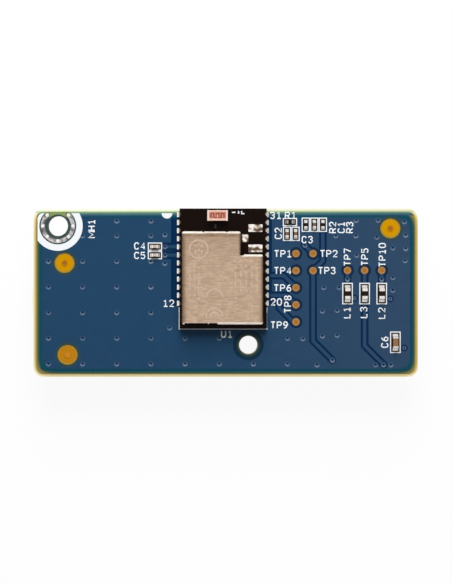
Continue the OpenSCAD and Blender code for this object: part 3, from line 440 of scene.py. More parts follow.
class Finish(Nodes):
    """A material that is being built: its nodes, its surface and its one shader."""

    def __init__(self, name, surface=None):
        self.material = bpy.data.materials.new(name)
        self.material.use_nodes = True
        super().__init__(self.material.node_tree)
        self.surface = SURFACES[surface or name]
        self.inputs = self.tree.nodes["Principled BSDF"].inputs
        self.inputs["Metallic"].default_value = self.surface.metallic
        self.inputs["Specular IOR Level"].default_value = self.surface.specular

    def ramp(self, value, *stops):
        """Colour that runs through the stops: each is a place from 0 to 1 and what tone takes."""
        made = self.tree.nodes.new("ShaderNodeValToRGB")
        self.feed(made.inputs[0], value)
        points = made.color_ramp.elements
        while len(points) < len(stops):
            points.new(0.5)
        for point, (place, *colour) in zip(points, stops):
            point.position = place
            point.color = (*tone(*colour), 1.0)
        return made.outputs[0]

    def slope(self):
        """The x, y and z of the surface's direction."""
        return self.add("SeparateXYZ", {0: self.add("NewGeometry")["Normal"]})

    def level(self):
        """One where the surface lies level, nought where it stands upright."""
        return self.sum("ABSOLUTE", self.slope()[2])

    def upright(self):
        """One where the surface stands upright, nought where it lies level."""
        return self.step(self.level(), 0.5, 0.2)

    def noise(self, size, detail=3.0):
        """Cloudy pattern round one half."""
        return self.add("TexNoise", {"Vector": self.place(), "Scale": 1 / size, "Detail": detail})[0]

    def group(self, build, inputs=()):
        """A node group that finishes share, built at its first use."""
        tree = bpy.data.node_groups.get(build.__name__) or build(build.__name__)
        return self.add("Group", inputs, node_tree=tree)

    def gap(self, place):
        """Distance from an upright axis."""
        x, y, _ = self.position()
        across = self.sum("POWER", self.apart(x, place.x), 2.0)
        along = self.sum("POWER", self.apart(y, place.y), 2.0)
        return self.sum("SQRT", self.sum("ADD", across, along))

    def near(self, place, reach, softness=0.05 * MM):
        """One inside the circle round an upright axis, nought outside it."""
        return self.step(self.gap(place), reach, reach - softness)

    def close(self, colour):
        """Lays the grain over the colour, the roughness and the relief, and joins them to the shader."""
        look = self.surface
        marks = self.group(fine_grain, {"Size": look.grain * MM, "Contrast": look.contrast,
                                        "Stretch": look.stretch})
        bump = self.add("Bump", {"Height": marks["Height"], "Distance": look.relief * MM, "Strength": 1.0})
        shine = self.sum("MULTIPLY_ADD", marks["Height"], look.spread, look.roughness - look.spread / 2)
        self.feed(self.inputs["Base Color"],
                  self.add("HueSaturation", {"Value": marks["Tone"], "Color": colour})[0])
        self.feed(self.inputs["Roughness"], shine)
        self.feed(self.inputs["Normal"], bump[0])
        return self.material


def new_group(name, inputs, outputs):
    """An empty node group with the named sockets: its nodes, what it is given and what it gives."""
    tree = bpy.data.node_groups.new(name, "ShaderNodeTree")
    for label, kind, default in inputs:
        tree.interface.new_socket(label, in_out="INPUT", socket_type=kind).default_value = default
    for label in outputs:
        tree.interface.new_socket(label, in_out="OUTPUT", socket_type="NodeSocketFloat")
    return Nodes(tree), tree.nodes.new("NodeGroupInput").outputs, tree.nodes.new("NodeGroupOutput").inputs


def fine_grain(name):
    """Fine uneven grain: a tone round one for the colour and a height for roughness and relief."""
    nodes, given, gives = new_group(
        name,
        (("Size", "NodeSocketFloat", 0.2 * MM), ("Contrast", "NodeSocketFloat", 0.1),
         ("Stretch", "NodeSocketVector", (1, 1, 1))),
        ("Tone", "Height"))
    pulled = nodes.add("VectorMath", {0: nodes.place(), 1: given["Stretch"]}, operation="DIVIDE")[0]
    fineness = nodes.sum("DIVIDE", 1.0, given["Size"])
    height = nodes.add("TexNoise", {"Vector": pulled, "Scale": fineness, "Detail": 4.0, "Roughness": 0.6})[0]
    swing = nodes.times(nodes.sum("SUBTRACT", height, 0.5), given["Contrast"])
    nodes.feed(gives["Tone"], nodes.sum("MULTIPLY_ADD", swing, 2.0, 1.0))
    nodes.feed(gives["Height"], height)
    return nodes.tree


def board_edge(name):
    """Distance from the pale rim's outline and from its upper side, in millimetres."""
    nodes, _, gives = new_group(name, (), ("Distance", "Upper"))
    x, y, _ = nodes.position()
    moved = RIM_SHIFT / 2
    end = nodes.sum("SUBTRACT", HALF_LENGTH + moved.x, nodes.apart(x, moved.x))
    side = nodes.sum("SUBTRACT", HALF_WIDTH + moved.y, nodes.apart(y, -moved.y))
    turned = nodes.sum("MULTIPLY_ADD", x, RIM_TURN, HALF_WIDTH * (1 + RIM_TURN))
    nearest = nodes.sum("SMOOTH_MIN", end, side, CORNER_BLEND)
    nodes.feed(gives["Distance"], nodes.sum("DIVIDE", nearest, MM))
    nodes.feed(gives["Upper"], nodes.sum("DIVIDE", nodes.sum("SUBTRACT", turned, y), MM))
    return nodes.tree


# Finishes

def plain(name, colour, surface=None):
    """A finish of one colour."""
    return Finish(name, surface).close(colour)


def laminate():
    """Glass laminate: pale where light gets in at its edge, amber further in, shaded round the holes."""
    finish = Finish("laminate")
    distance, upper = finish.group(board_edge)
    x, y, _ = finish.position()
    depth = finish.sum("DIVIDE", distance, 3.0, clamp=True)
    colour = finish.ramp(depth, (0.0, "rim"), (0.05, "rim", "gold_rim", 0.45), (0.1, "gold_rim"),
                         (0.16, "gold_rim", "mask_edge", 0.6), (0.22, "mask_edge"), (0.5, "hole_shade"))
    for place in fiducials():
        colour = finish.mix(finish.near(place, FIDUCIAL_WINDOW + 0.3 * MM), colour, window_amber(place))
    lower = finish.rise(y, -HALF_WIDTH, 0.9, 0.2)
    colour = finish.mix(finish.times(lower, 0.4), colour, "rim")
    # Painted light: the upper side is paler still, lit from above
    pale = finish.ramp(finish.step(upper, 0.0, 0.5), (0.0, "upper_rim", WHITE, 0.45), (0.45, "upper_rim"),
                       (0.9, "upper_edge", "upper_rim", 0.35))
    yellow = finish.times(finish.step(x, YELLOW_START, HALF_LENGTH), finish.step(upper, 0.35, 0.2))
    pale = finish.mix(yellow, pale, tone("rim", "gold_rim", 0.15))
    colour = finish.mix(finish.step(upper, 0.6, 0.45), colour, pale)
    away = finish.gap(LOCATING_HOLE)
    wall = finish.ramp(finish.rise(away, LOCATING_RADIUS, 0.0, 0.2), (0.0, "hole_rim", "rim", 0.3),
                       (0.6, "hole_rim"), (1.0, "hole_shade", "hole_rim", 0.5))
    colour = finish.mix(finish.rise(away, LOCATING_RADIUS, 0.45, 0.35), colour, wall)
    colour = finish.mix(finish.upright(), colour, "cut_edge")
    mount = finish.near(MOUNTING_HOLE, MOUNTING_WINDOW + 0.1 * MM)
    mount = finish.times(mount, finish.step(upper, 0.45, 0.6))
    return finish.close(finish.mix(mount, colour, "hole_rim"))


def solder_mask(name, level, above):
    """Blue solder mask: its tone follows the copper under it and the edge of the board, with painted light
    along its upper side and in the ring's notch, and painted shade round the locating hole and the fiducial
    windows.
    """
    finish = Finish(name, "solder_mask")
    distance, upper = finish.group(board_edge)
    x, _, z = finish.position()
    copper = finish.sum("GREATER_THAN" if above else "LESS_THAN", z, level)
    bare = finish.sum("SUBTRACT", 1.0, copper)
    ground = finish.ramp(finish.step(x, -HALF_LENGTH, HALF_LENGTH), (0.45, "mask"),
                         (0.65, "mask", "mask_right", 0.4), (1.0, "mask_right"))
    ground = finish.mix(finish.step(distance, 1.5, 1.1), ground, "band")
    depth = finish.sum("DIVIDE", distance, 2.0, clamp=True)
    low = finish.ramp(depth, (0.225, "mask_edge"), (0.32, "mask_edge", "fade", 0.5), (0.395, "fade"),
                      (0.47, "fade", "band", 0.7), (0.545, "band"), (0.65, "band", "groove", 0.3),
                      (0.8, "groove"))
    colour = finish.mix(copper, low, ground)
    # Painted light along the upper side, where light from above gets in at the board's edge
    green = finish.ramp(finish.step(upper, 0.35, 1.15), (0.03, "upper_edge", "upper_rim", 0.35),
                        (0.22, "upper_edge"), (0.42, "upper_edge", "upper_fade", 0.55), (0.62, "upper_fade"),
                        (1.0, "mask"))
    colour = finish.mix(finish.step(upper, 1.2, 1.0), colour, green)
    away = finish.gap(LOCATING_HOLE)
    shade = finish.ramp(finish.step(away, LOCATING_RADIUS + 0.1 * MM, LOCATING_SHADE), (0.0, "hole_rim"),
                        (0.36, "hole_shade"), (0.6, "hole_shade", "groove", 0.6),
                        (0.9, "groove", "mask", 0.3))
    beside = finish.rise(away, LOCATING_SHADE, 0.02, -0.02)
    colour = finish.mix(finish.times(beside, bare), colour, shade)
    mount = finish.times(finish.near(MOUNTING_HOLE, MOUNTING_WINDOW), bare)
    colour = finish.mix(mount, colour, "hole_rim")
    # Mask over bare laminate in the ring's notch, with painted light from the upper edge
    colour = finish.mix(finish.times(mount, finish.step(upper, 1.4, 1.0)), colour, "notch")
    # Painted shade round each fiducial window
    for place in fiducials() if above else ():
        beside = finish.near(place, FIDUCIAL_WINDOW + 0.6 * MM, 0.55 * MM)
        colour = finish.mix(beside, colour, tone("fade", "hole_shade", 0.3))
    return finish.close(colour)


def window_amber(place):
    """Bare laminate in a fiducial mark's window, duller in the lowest one."""
    return tone("amber", "dot", 0.5) if place.y < 0 else tone("amber")


def fiducial_copper():
    """Copper dots that fade into the laminate round them, paler than it on the lowest mark."""
    finish = Finish("fiducial_copper", "bare_copper")
    colour = "dot"
    for place in fiducials():
        faded = finish.mix(finish.near(place, 0.55 * MM, 0.3 * MM), window_amber(place),
                           "pale_dot" if place.y < 0 else "dot")
        colour = finish.mix(finish.near(place, 2.0 * MM), colour, faded)
    return finish.close(colour)


def dimmed_ink():
    """White print of the frames, mixed towards the mask's colour beside the module's lower right side, most
    of all near its lower end.
    """
    finish = Finish("dimmed_ink", "white_ink")
    x, y, _ = finish.position()
    beside = finish.times(finish.sum("COMPARE", x, MODULE_HIGH.x + 0.1 * MM, 0.3 * MM),
                          finish.rise(y, MODULE_LOW.y, 0.0, 0.1))
    lower = finish.rise(y, MODULE_LOW.y, 2.7, 2.2)
    dimming = finish.sum("MULTIPLY_ADD", lower, 0.6, 0.25)
    return finish.close(finish.mix(finish.times(beside, dimming), "ink", "mask_right"))


def via_copper():
    """Solder mask over the rim of a via, with a painted highlight on its lower side, where light from above
    would catch the rim; its upper side stays near the mask's colour.
    """
    finish = Finish("via_copper")
    lower = finish.add("Attribute", attribute_name="lower")["Fac"]
    patches = finish.step(finish.noise(2.0 * MM), 0.25, 0.65)
    # Painted highlight, strongest on the rim's lower side
    lit_arc = finish.ramp(finish.step(lower, -1.0, 1.0), (0.0, "mask", "via", 0.12), (0.3, "mask", "via", 0.2),
                      (0.6, "mask", "via", 0.5), (0.95, "via"))
    return finish.close(finish.mix(finish.sum("MULTIPLY_ADD", patches, 0.6, 0.4), "mask", lit_arc))


def tinned(name, colour):
    """Tinned metal, a little darker where it turns down, as painted shade."""
    finish = Finish(name, "chip_tin")
    return finish.close(finish.mix(finish.step(finish.level(), 0.0, 0.7), tone(colour, BLACK, 0.3), colour))


def chip_joints():
    """Solder at the chips' ends, with painted light where it stands steep and painted shade where it lies
    level, dull on the first resistor.
    """
    finish = Finish("chip_joints")
    colour = finish.ramp(finish.level(), (0.2, "chip_solder", WHITE, 0.3), (0.7, "chip_solder"),
                         (1.0, "chip_solder", "solder_shade", 0.35))
    low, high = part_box("resistor_r1_ends")
    dull = finish.near((low + high) / 2, 0.95 * MM)
    return finish.close(finish.mix(dull, colour, tone("chip_solder", "solder_shade", 0.7)))


def dull_ring():
    """Unsoldered metal of the mounting ring, patchy from bright to dark."""
    finish = Finish("dull_ring")
    patches = finish.step(finish.noise(0.6 * MM), 0.38, 0.6)
    return finish.close(finish.mix(patches, tone("ring", BLACK, 0.7), tone("ring", WHITE, 0.25)))


def bright_solder():
    """Solder: bright where it lies level, with painted shade where it stands steep."""
    finish = Finish("bright_solder")
    return finish.close(finish.ramp(finish.level(), (0.25, "solder_shade"),
                                    (0.6, "solder_shade", "solder", 0.45), (0.9, "solder")))


def joint_solder():
    """Solder of the module's terminals, with painted shade where it stands steep and inside their half holes,
    and darker past their toes, more so towards the right.
    """
    finish = Finish("joint_solder")
    x, _, _ = finish.position()
    colour = finish.ramp(finish.level(), (0.2, "solder_shade"), (0.5, "solder_shade", "solder", 0.5),
                         (0.85, "solder"))
    right = finish.step(x, MODULE_LOW.x, MODULE_HIGH.x)
    off_middle = finish.apart(x, (MODULE_LOW.x + MODULE_HIGH.x) / 2)
    past = finish.sum("SUBTRACT", off_middle, (MODULE_HIGH.x - MODULE_LOW.x) / 2)
    inside = finish.sum("MULTIPLY_ADD", right, 0.1 * MM, past)
    # Painted shade inside the half holes, in the dark colour of the terminals' tops
    colour = finish.mix(finish.rise(inside, 0.0, 0.09, -0.07), colour, "edge_plate")
    # Darker past the toes, more so towards the right
    toe = finish.times(right, finish.rise(past, 0.0, 0.22, 0.36))
    return finish.close(finish.mix(toe, colour, "well"))


def terminal_plate():
    """Gold of the module's terminals, tarnished dark at the upper face."""
    finish = Finish("terminal_plate")
    _, _, z = finish.position()
    tarnish = finish.rise(z, MODULE_HIGH.z, -0.3, -0.05)
    return finish.close(finish.mix(tarnish, "gold", "edge_plate"))


def streaked_solder():
    """Solder left on the bare lands of the module, pulled into streaks, with painted shade across the middle
    of each land, darker towards the bottom, lighter on the small land at the left and darker away from its
    middle.
    """
    finish = Finish("streaked_solder")
    x, y, _ = finish.position()
    pitch = 0.176 * (LANDS_HIGH.y - LANDS_LOW.y)
    fall = finish.sum("PINGPONG", finish.sum("SUBTRACT", LANDS_HIGH.y, y), pitch)
    # Painted shade across the middle of each land
    valley_shade = finish.rise(fall, 0.0, 0.3, 0.6)
    shine = finish.sum("MULTIPLY_ADD", valley_shade, -0.13, finish.noise(0.9 * MM, 1.0))
    left = finish.rise(x, LANDS_HIGH.x, -2.0, -2.2)
    shine = finish.sum("MULTIPLY_ADD", left, 0.16, shine)
    height = finish.step(y, LANDS_LOW.y + 1.4 * MM, LANDS_HIGH.y - 1.2 * MM)
    shine = finish.sum("ADD", shine, finish.sum("MULTIPLY_ADD", height, 0.09, -0.05))
    small_land = Vector((LANDS_LOW.x + 0.56 * MM, (LANDS_LOW.y + LANDS_HIGH.y) / 2, 0))
    rim = finish.times(finish.rise(finish.gap(small_land), 0.0, 0.4, 0.64), left)
    shine = finish.sum("MULTIPLY_ADD", rim, -0.3, shine)
    return finish.close(finish.ramp(shine, (0.34, "streak_hollow"), (0.44, "dull_streak"), (0.54, "solder")))


def shield_tin():
    """Dull tin sheet: painted highlights on the bends at its ends and along its lips, painted shade on the
    bends at its sides and near its left and right edges, a brown band near the upper end.
    """
    finish = Finish("shield_tin")
    x, y, _ = finish.position()
    side, end, _ = finish.slope()
    below = finish.rise(y, SHIELD_HIGH.y, 0.0, -6.0)
    colour = finish.ramp(below, (0.06, "shield", "shield_band", 0.7), (0.11, "shield_band"),
                         (0.16, "shield", "shield_band", 0.35), (0.4, "shield", "shield_band", 0.2),
                         (0.9, "shield"))
    clouds = finish.step(finish.noise(1.4 * MM), 0.38, 0.66)
    colour = finish.mix(finish.times(clouds, 0.6), colour, tone("shield", "shield_band", 0.45))
    # Painted shade near the left and right edges
    left = finish.rise(x, SHIELD_LOW.x, 0.8, 0.35)
    colour = finish.mix(left, colour, tone("shield_band", "shield", 0.1))
    right = finish.rise(x, SHIELD_HIGH.x, -0.8, -0.3)
    colour = finish.mix(finish.times(right, 0.35), colour, "shield_band")
    # Painted shade on the bends at the sides
    turned = finish.step(finish.sum("ABSOLUTE", side), 0.1, 0.8)
    colour = finish.mix(turned, colour, tone("shield_band", BLACK, 0.35))
    speck = finish.step(finish.noise(0.22 * MM, 2.0), 0.3, 0.75)
    colour = finish.mix(finish.times(speck, 0.45), colour, tone("shield_band", "shield", 0.3))
    # Painted highlights on the bends at the ends and along the lips
    steep = finish.sum("ABSOLUTE", end)
    bend = finish.step(steep, 0.15, 0.5)
    for edge, inward, start, stop in SHIELD_LIPS:
        away = finish.apart(y, edge + inward * LIP_WIDTH / 2)
        across = finish.rise(away, LIP_WIDTH / 2, 0.05, -0.05)
        along = finish.sum("COMPARE", x, (start + stop) / 2, (stop - start) / 2)
        bend = finish.sum("MAXIMUM", bend, finish.times(across, along))
    bend = finish.times(bend, finish.step(steep, 1.0, 0.8))
    inner = finish.times(finish.rise(x, NOTCH_WALL, 0.1, 0.0),
                         finish.sum("COMPARE", y, NOTCH_END, 0.8 * MM))
    bright = finish.mix(finish.times(speck, 0.2), "shield_bend", "shield")
    return finish.close(finish.mix(finish.sum("SUBTRACT", bend, inner, clamp=True), colour, bright))


def washed_ceramic():
    """Aerial ceramic with a patchy wash along the middle of its upper face."""
    finish = Finish("aerial_ceramic")
    _, y, z = finish.position()
    wash = finish.times(finish.rise(y, AERIAL_LOW.y, 0.2, 0.42),
                        finish.rise(y, AERIAL_HIGH.y, -0.12, -0.32))
    face = finish.times(finish.rise(z, AERIAL_HIGH.z, -0.1, -0.02),
                        finish.step(finish.noise(0.5 * MM), 0.25, 0.5))
    colour = finish.mix(finish.times(wash, face), "ceramic", "aerial_wash")
    return finish.close(finish.mix(finish.upright(), colour, tone("ceramic", "aerial_wash", 0.8)))


# Mesh building

def finish_piece(name, shape, material):
    """Makes a bmesh a piece of the card."""
    mesh = bpy.data.meshes.new(name)
    shape.to_mesh(mesh)
    shape.free()
    piece = bpy.data.objects.new(name, mesh)
    bpy.context.scene.collection.objects.link(piece)
    mesh.materials.append(material)
    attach(piece, BODY)


def paint(material, *nodes):
    """Gives CAD nodes a material."""
    for node in nodes:
        slots = frame["nodes"][node].data.materials
        slots.clear()
        slots.append(material)


def paint_slots(materials):
    """Gives the CAD nodes the materials of their slots."""
    for node, slot in SLOT_OF.items():
        if slot in materials:
            paint(materials[slot], node)


def strokes(paths, width, height):
    """Mesh of drawn lines of the given width, flattened to the given height above z = 0."""
    curve = bpy.data.curves.new("strokes", "CURVE")
    curve.dimensions = "3D"
    curve.bevel_depth = width / 2
    curve.bevel_resolution = 2
    curve.use_fill_caps = True
    for path in paths:
        line = curve.splines.new("POLY")
        closed = path[0] == path[-1]
        points = path[:-1] if closed else path
        line.points.add(len(points) - 1)
        for point, (x, y) in zip(line.points, points):
            point.co = (x, y, 0, 1)
        line.use_cyclic_u = closed
    holder = bpy.data.objects.new("strokes", curve)
    bpy.context.scene.collection.objects.link(holder)
    mesh = bpy.data.meshes.new_from_object(holder.evaluated_get(bpy.context.evaluated_depsgraph_get()))
    bpy.data.objects.remove(holder)
    bpy.data.curves.remove(curve)
    mesh.transform(Matrix.Diagonal((1, 1, 2 * height / width, 1)))
    return mesh


def join_mesh(shape, mesh, place):
    """Adds a mesh to a bmesh at its place."""
    mesh.transform(place)
    shape.from_mesh(mesh)
    bpy.data.meshes.remove(mesh)


def drawn_piece(name, paths, width, height, place, material):
    """Makes drawn lines a piece of the card."""
    shape = bmesh.new()
    join_mesh(shape, strokes(paths, width, height), Matrix.Translation(place))
    finish_piece(name, shape, material)


def ring(shape, middle, profile, steps):
    """Turns a closed profile of radius and height round an upright axis, and returns its corners."""
    corners = [shape.verts.new((middle.x + r, middle.y, z)) for r, z in profile]
    rim = [shape.edges.new((a, b)) for a, b in zip(corners, corners[1:] + corners[:1])]
    before = set(shape.verts)
    bmesh.ops.spin(shape, geom=corners + rim, cent=middle, axis=(0, 0, 1), angle=math.tau, steps=steps,
                   use_merge=True)
    return [v for v in shape.verts if v not in before] + [v for v in corners if v.is_valid]


def flat_spots(node, height, sizes, facing=1):
    """Middles of a node's level faces at a height, of those islands within a range of sizes."""
    smallest, largest = sizes
    shape = bmesh.new()
    shape.from_mesh(frame["nodes"][node].data)
    bmesh.ops.remove_doubles(shape, verts=shape.verts, dist=SAME_CORNER)
    left = {face for face in shape.faces
            if face.normal.z * facing > 0.9 and abs(face.calc_center_median().z - height) < MASK_STEP / 4}
    spots = []
    while left:
        island = {left.pop()}
        edge_of = set(island)
        while edge_of:
            edge_of = {n for f in edge_of for e in f.edges for n in e.link_faces} & left
            left -= edge_of
            island |= edge_of
        corners = [v.co for f in island for v in f.verts]
        low = Vector(min(c[k] for c in corners) for k in range(3))
        high = Vector(max(c[k] for c in corners) for k in range(3))
        if smallest < (high - low).x < largest and smallest < (high - low).y < largest:
            spots.append((low + high) / 2)
    shape.free()
    return sorted(spots, key=lambda spot: (round(spot.x, 6), round(spot.y, 6)))


def fiducials():
    """Middles of the fiducial marks."""
    return flat_spots("fiducial_marks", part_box("fiducial_marks")[1].z, PAD_SIZES)


def plate(shape, middle, length, width, bottom, height, rounding):
    """Flat plate with rounded corners."""
    made = bmesh.ops.create_cube(shape, size=1.0)["verts"]
    bmesh.ops.scale(shape, vec=(length, width, height), verts=made)
    upright = [e for v in made for e in v.link_edges if abs(e.verts[0].co.z - e.verts[1].co.z) > height / 2]
    bent = bmesh.ops.bevel(shape, geom=list(set(upright)), offset=rounding, offset_type="OFFSET", segments=4,
                           profile=0.5, affect="EDGES", material=-1)
    corners = {v for v in made if v.is_valid} | set(bent["verts"])
    bmesh.ops.translate(shape, vec=(middle.x, middle.y, bottom + height / 2), verts=list(corners))


# Operators

class CardOperator:
    """What the card's operators share."""

    bl_options = {"REGISTER", "UNDO"}


class CARD_OT_finish_board(CardOperator, bpy.types.Operator):
    """Finish the laminate, the two solder masks and the white ink"""

    bl_idname = "card.finish_board"
    bl_label = "Finish Board"

    def execute(self, context):
        paint(laminate(), "board")
        paint(solder_mask("solder_mask_top", MASK_TOP - MASK_STEP / 2, True), "solder_mask_top")
        paint(solder_mask("solder_mask_under", MASK_UNDER + MASK_STEP / 2, False), "solder_mask_under")
        paint(dimmed_ink(), "white_ink")
        return {"FINISHED"}


class CARD_OT_finish_metal(CardOperator, bpy.types.Operator):
    """Finish the copper, the plating, the solder, the chip ends and the gold"""

    bl_idname = "card.finish_metal"
    bl_label = "Finish Metal"

    def execute(self, context):
        paint_slots({
            "copper": plain("bare_copper", "copper"),
            "plating": dull_ring(),
            "solder": bright_solder(),
            "end_metal": tinned("chip_tin", "tin"),
            "gold_plating": plain("gold_plate", "gold"),
        })
        paint(fiducial_copper(), "fiducial_marks")
        paint(joint_solder(), "module_solder")
        paint(terminal_plate(), "module_terminals")
        paint(streaked_solder(), "jack_lands")
        paint(chip_joints(), "chip_solder")
        paint(tinned("dull_tin", tone("tin", "solder_shade", 0.5)), "resistor_r1_ends")
        return {"FINISHED"}


class CARD_OT_finish_parts(CardOperator, bpy.types.Operator):
    """Finish the module's board and shield, the chips, the aerial and the socket"""

    bl_idname = "card.finish_parts"
    bl_label = "Finish Parts"

    def execute(self, context):
        paint_slots({
            "module_laminate": plain("black_laminate", "module"),
            "shield_metal": shield_tin(),
            "chip_mould": plain("moulded_plastic", "plastic"),
            "resistor_body": plain("resistor_glaze", "resistor", "fired_glaze"),
            "capacitor_body": plain("capacitor_ceramic", "capacitor", "chip_ceramic"),
            "ferrite": plain("ferrite", "ferrite", "fired_glaze"),
            "aerial_ceramic": washed_ceramic(),
            "socket_plastic": plain("moulded_plastic", "plastic"),
        })
        paint(plain("corner_ceramic", "corner_capacitor", "chip_ceramic"), "capacitor_c6_body")
        paint(plain("pale_ceramic", "pale_capacitor"), "capacitor_c4_body", "capacitor_c5_body")
        paint(tinned("aerial_tin", tone("ceramic", WHITE, 0.2)), "aerial_ends")
        return {"FINISHED"}


class CARD_OT_letter_board(CardOperator, bpy.types.Operator):
    """Print the part numbers and pin numbers on the board, and the line round the socket"""

    bl_idname = "card.letter_board"
    bl_label = "Letter Board"

    def execute(self, context):
        sizes = context.scene.card_sizes
        shape = bmesh.new()
        high = sizes.letter_height - sizes.letter_stroke
        wide = sizes.letter_width - sizes.letter_stroke
        for labels, height, flip in ((LABELS, MASK_TOP, 0.0), (UNDER_LABELS, MASK_UNDER, math.pi)):
            for words, (x, y), turn in labels:
                start = -((len(words) - 1) * sizes.letter_pitch + wide) / 2
                paths = [[(start + k * sizes.letter_pitch + px * wide, (py - 0.5) * high) for px, py in path]
                         for k, letter in enumerate(words) for path in GLYPHS[letter]]
                place = Matrix.Translation((x * MM, y * MM, height)) @ Matrix.Rotation(flip, 4, "Y")
                place = place @ Matrix.Rotation(math.radians(turn), 4, "Z")
                join_mesh(shape, strokes(paths, sizes.letter_stroke, sizes.ink_height), place)
        corners = (*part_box("socket_housing"), *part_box("socket_lands"))
        left = min(corner.x for corner in corners) - sizes.frame_gap
        right = max(corner.x for corner in corners) + sizes.frame_gap
        near = min(corner.y for corner in corners) - sizes.frame_gap
        far = max(corner.y for corner in corners) + sizes.frame_gap
        outline = [(left, near), (right, near), (right, far), (left, far), (left, near)]
        join_mesh(shape, strokes([outline], sizes.letter_stroke, sizes.ink_height),
                  Matrix.Translation((0, 0, MASK_UNDER)))
        finish_piece("board_lettering", shape, plain("white_ink", "ink"))
        return {"FINISHED"}


class CARD_OT_rim_vias(CardOperator, bpy.types.Operator):
    """Lay the thin rims round the vias"""

    bl_idname = "card.rim_vias"
    bl_label = "Rim Vias"

    def execute(self, context):
        sizes = context.scene.card_sizes
        crown = (sizes.via_rim + sizes.via_mouth) / 4
        shape = bmesh.new()
        lower = shape.verts.layers.float.new("lower")
        for node, floor, face, facing in (("solder_mask_top", MASK_FLOOR, MASK_TOP, 1),
                                          ("solder_mask_under", UNDER_FLOOR, MASK_UNDER, -1)):
            places = flat_spots(node, floor, VIA_SIZES, facing)
            if not places:
                raise RuntimeError(node + " has no via dimples")
            lone = flat_spots(node, floor, LONE_VIA_SIZES, facing)
            profile = ((sizes.via_mouth / 2, floor), (crown, face + facing * sizes.film_height),
                       (sizes.via_rim / 2, face))
            for place in places:
                alone = any((spot - place).length < SAME_PLACE for spot in lone)
                share = sizes.lone_rim / sizes.via_rim if alone else 1.0
                for corner in ring(shape, place, [(r * share, z) for r, z in profile], VIA_CORNERS):
                    # How far below its via a corner lies; the via finish paints its highlight from this
                    corner[lower] = 0.0 if alone else (place.y - corner.co.y) / crown
        bmesh.ops.recalc_face_normals(shape, faces=shape.faces)
        finish_piece("via_rims", shape, via_copper())
        return {"FINISHED"}


class CARD_OT_rim_pads(CardOperator, bpy.types.Operator):
    """Lay the pale rims of the test pads and fiducial windows, and the dark rings of painted shade round the
    pads
    """

    bl_idname = "card.rim_pads"
    bl_label = "Rim Pads"

    def execute(self, context):
        sizes = context.scene.card_sizes
        pads = flat_spots("test_pads", PADS_HIGH.z, PAD_SIZES)
        marks = fiducials()
        if not pads or not marks:
            raise RuntimeError("the frame has no test pads or no fiducial marks")
        pad = min(place.x for place in pads) - PADS_LOW.x
        for name, places, inner, outer, foot, material, slot in (
                ("pad_rims", pads, pad - sizes.pad_rim, pad, PADS_HIGH.z,
                 plain("worn_copper", "worn_copper"), "copper"),
                # Dark rings of painted shade round the pads
                ("pad_wells", pads, pad + FILM_GAP, pad + sizes.pad_well, MASK_FLOOR,
                 plain("pad_well", "well"), "solder_mask"),
                ("window_rims", marks, FIDUCIAL_WINDOW - sizes.window_rim, FIDUCIAL_WINDOW - FILM_GAP,
                 BOARD_HIGH.z, plain("window_rim", "window"), "laminate")):
            profile = ((inner, foot), ((inner + outer) / 2, foot + sizes.film_height), (outer, foot))
            shape = bmesh.new()
            for place in places:
                ring(shape, place, profile, PAD_CORNERS)
            bmesh.ops.recalc_face_normals(shape, faces=shape.faces)
            finish_piece(name, shape, material)
        return {"FINISHED"}


class CARD_OT_lay_flux(CardOperator, bpy.types.Operator):
    """Lay dark sheets of painted shade inside the printed frames of the chips"""

    bl_idname = "card.lay_flux"
    bl_label = "Lay Chip Shade"

    def execute(self, context):
        sizes = context.scene.card_sizes
        shape = bmesh.new()
        for node in SLOT_OF:
            if not node.endswith("_body") or node == "aerial_body":
                continue
            low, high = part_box(node)
            spread = high - low
            large = max(spread.x, spread.y) > LARGE_CHIP
            length = sizes.large_film if large else sizes.small_film
            width = sizes.large_film_width if large else sizes.small_film_width
            if spread.y > spread.x:
                length, width = width, length
            plate(shape, (low + high) / 2, length, width, MASK_TOP, sizes.film_height, FILM_ROUNDING)
        # Dark sheets of painted shade round the chips
        finish_piece("chip_shade_films", shape, plain("chip_shade_film", "flux"))
        return {"FINISHED"}


class CARD_OT_print_aerial(CardOperator, bpy.types.Operator):
    """Print the folded line on the aerial, lay its feed and print the dashes beside it"""

    bl_idname = "card.print_aerial"
    bl_label = "Print Aerial"

    def execute(self, context):
        sizes = context.scene.card_sizes
        middle = (AERIAL_LOW + AERIAL_HIGH) / 2
        path = []
        for k in range(FOLDS):
            side = FOLD_REACH if k % 2 else -FOLD_REACH
            x = (k - (FOLDS - 1) / 2) * FOLD_PITCH
            path += [(x, side), (x, -side)]
        drawn_piece("aerial_print", [path], sizes.print_stroke, sizes.film_height,
                    (middle.x, middle.y, AERIAL_HIGH.z),
                    plain("aerial_ink", "aerial_print", "chip_ceramic"))
        feed = Vector((middle.x + FEED_OFFSET[0], AERIAL_LOW.y - FEED_OFFSET[1], 0))
        shape = bmesh.new()
        plate(shape, feed, *FEED_SIZE, MODULE_HIGH.z, sizes.film_height, FEED_ROUNDING)
        mark = plain("feed_mark", tone("module", WHITE, 0.03), "chip_ceramic")
        finish_piece("aerial_feed", shape, mark)
        dashes = [[(x * MM, y * MM) for x, y in dash] for dash in PRINT_DASHES]
        drawn_piece("module_print", dashes, sizes.letter_stroke, sizes.film_height,
                    (AERIAL_HIGH.x, middle.y, MODULE_HIGH.z), plain("white_ink", "ink"))
        return {"FINISHED"}


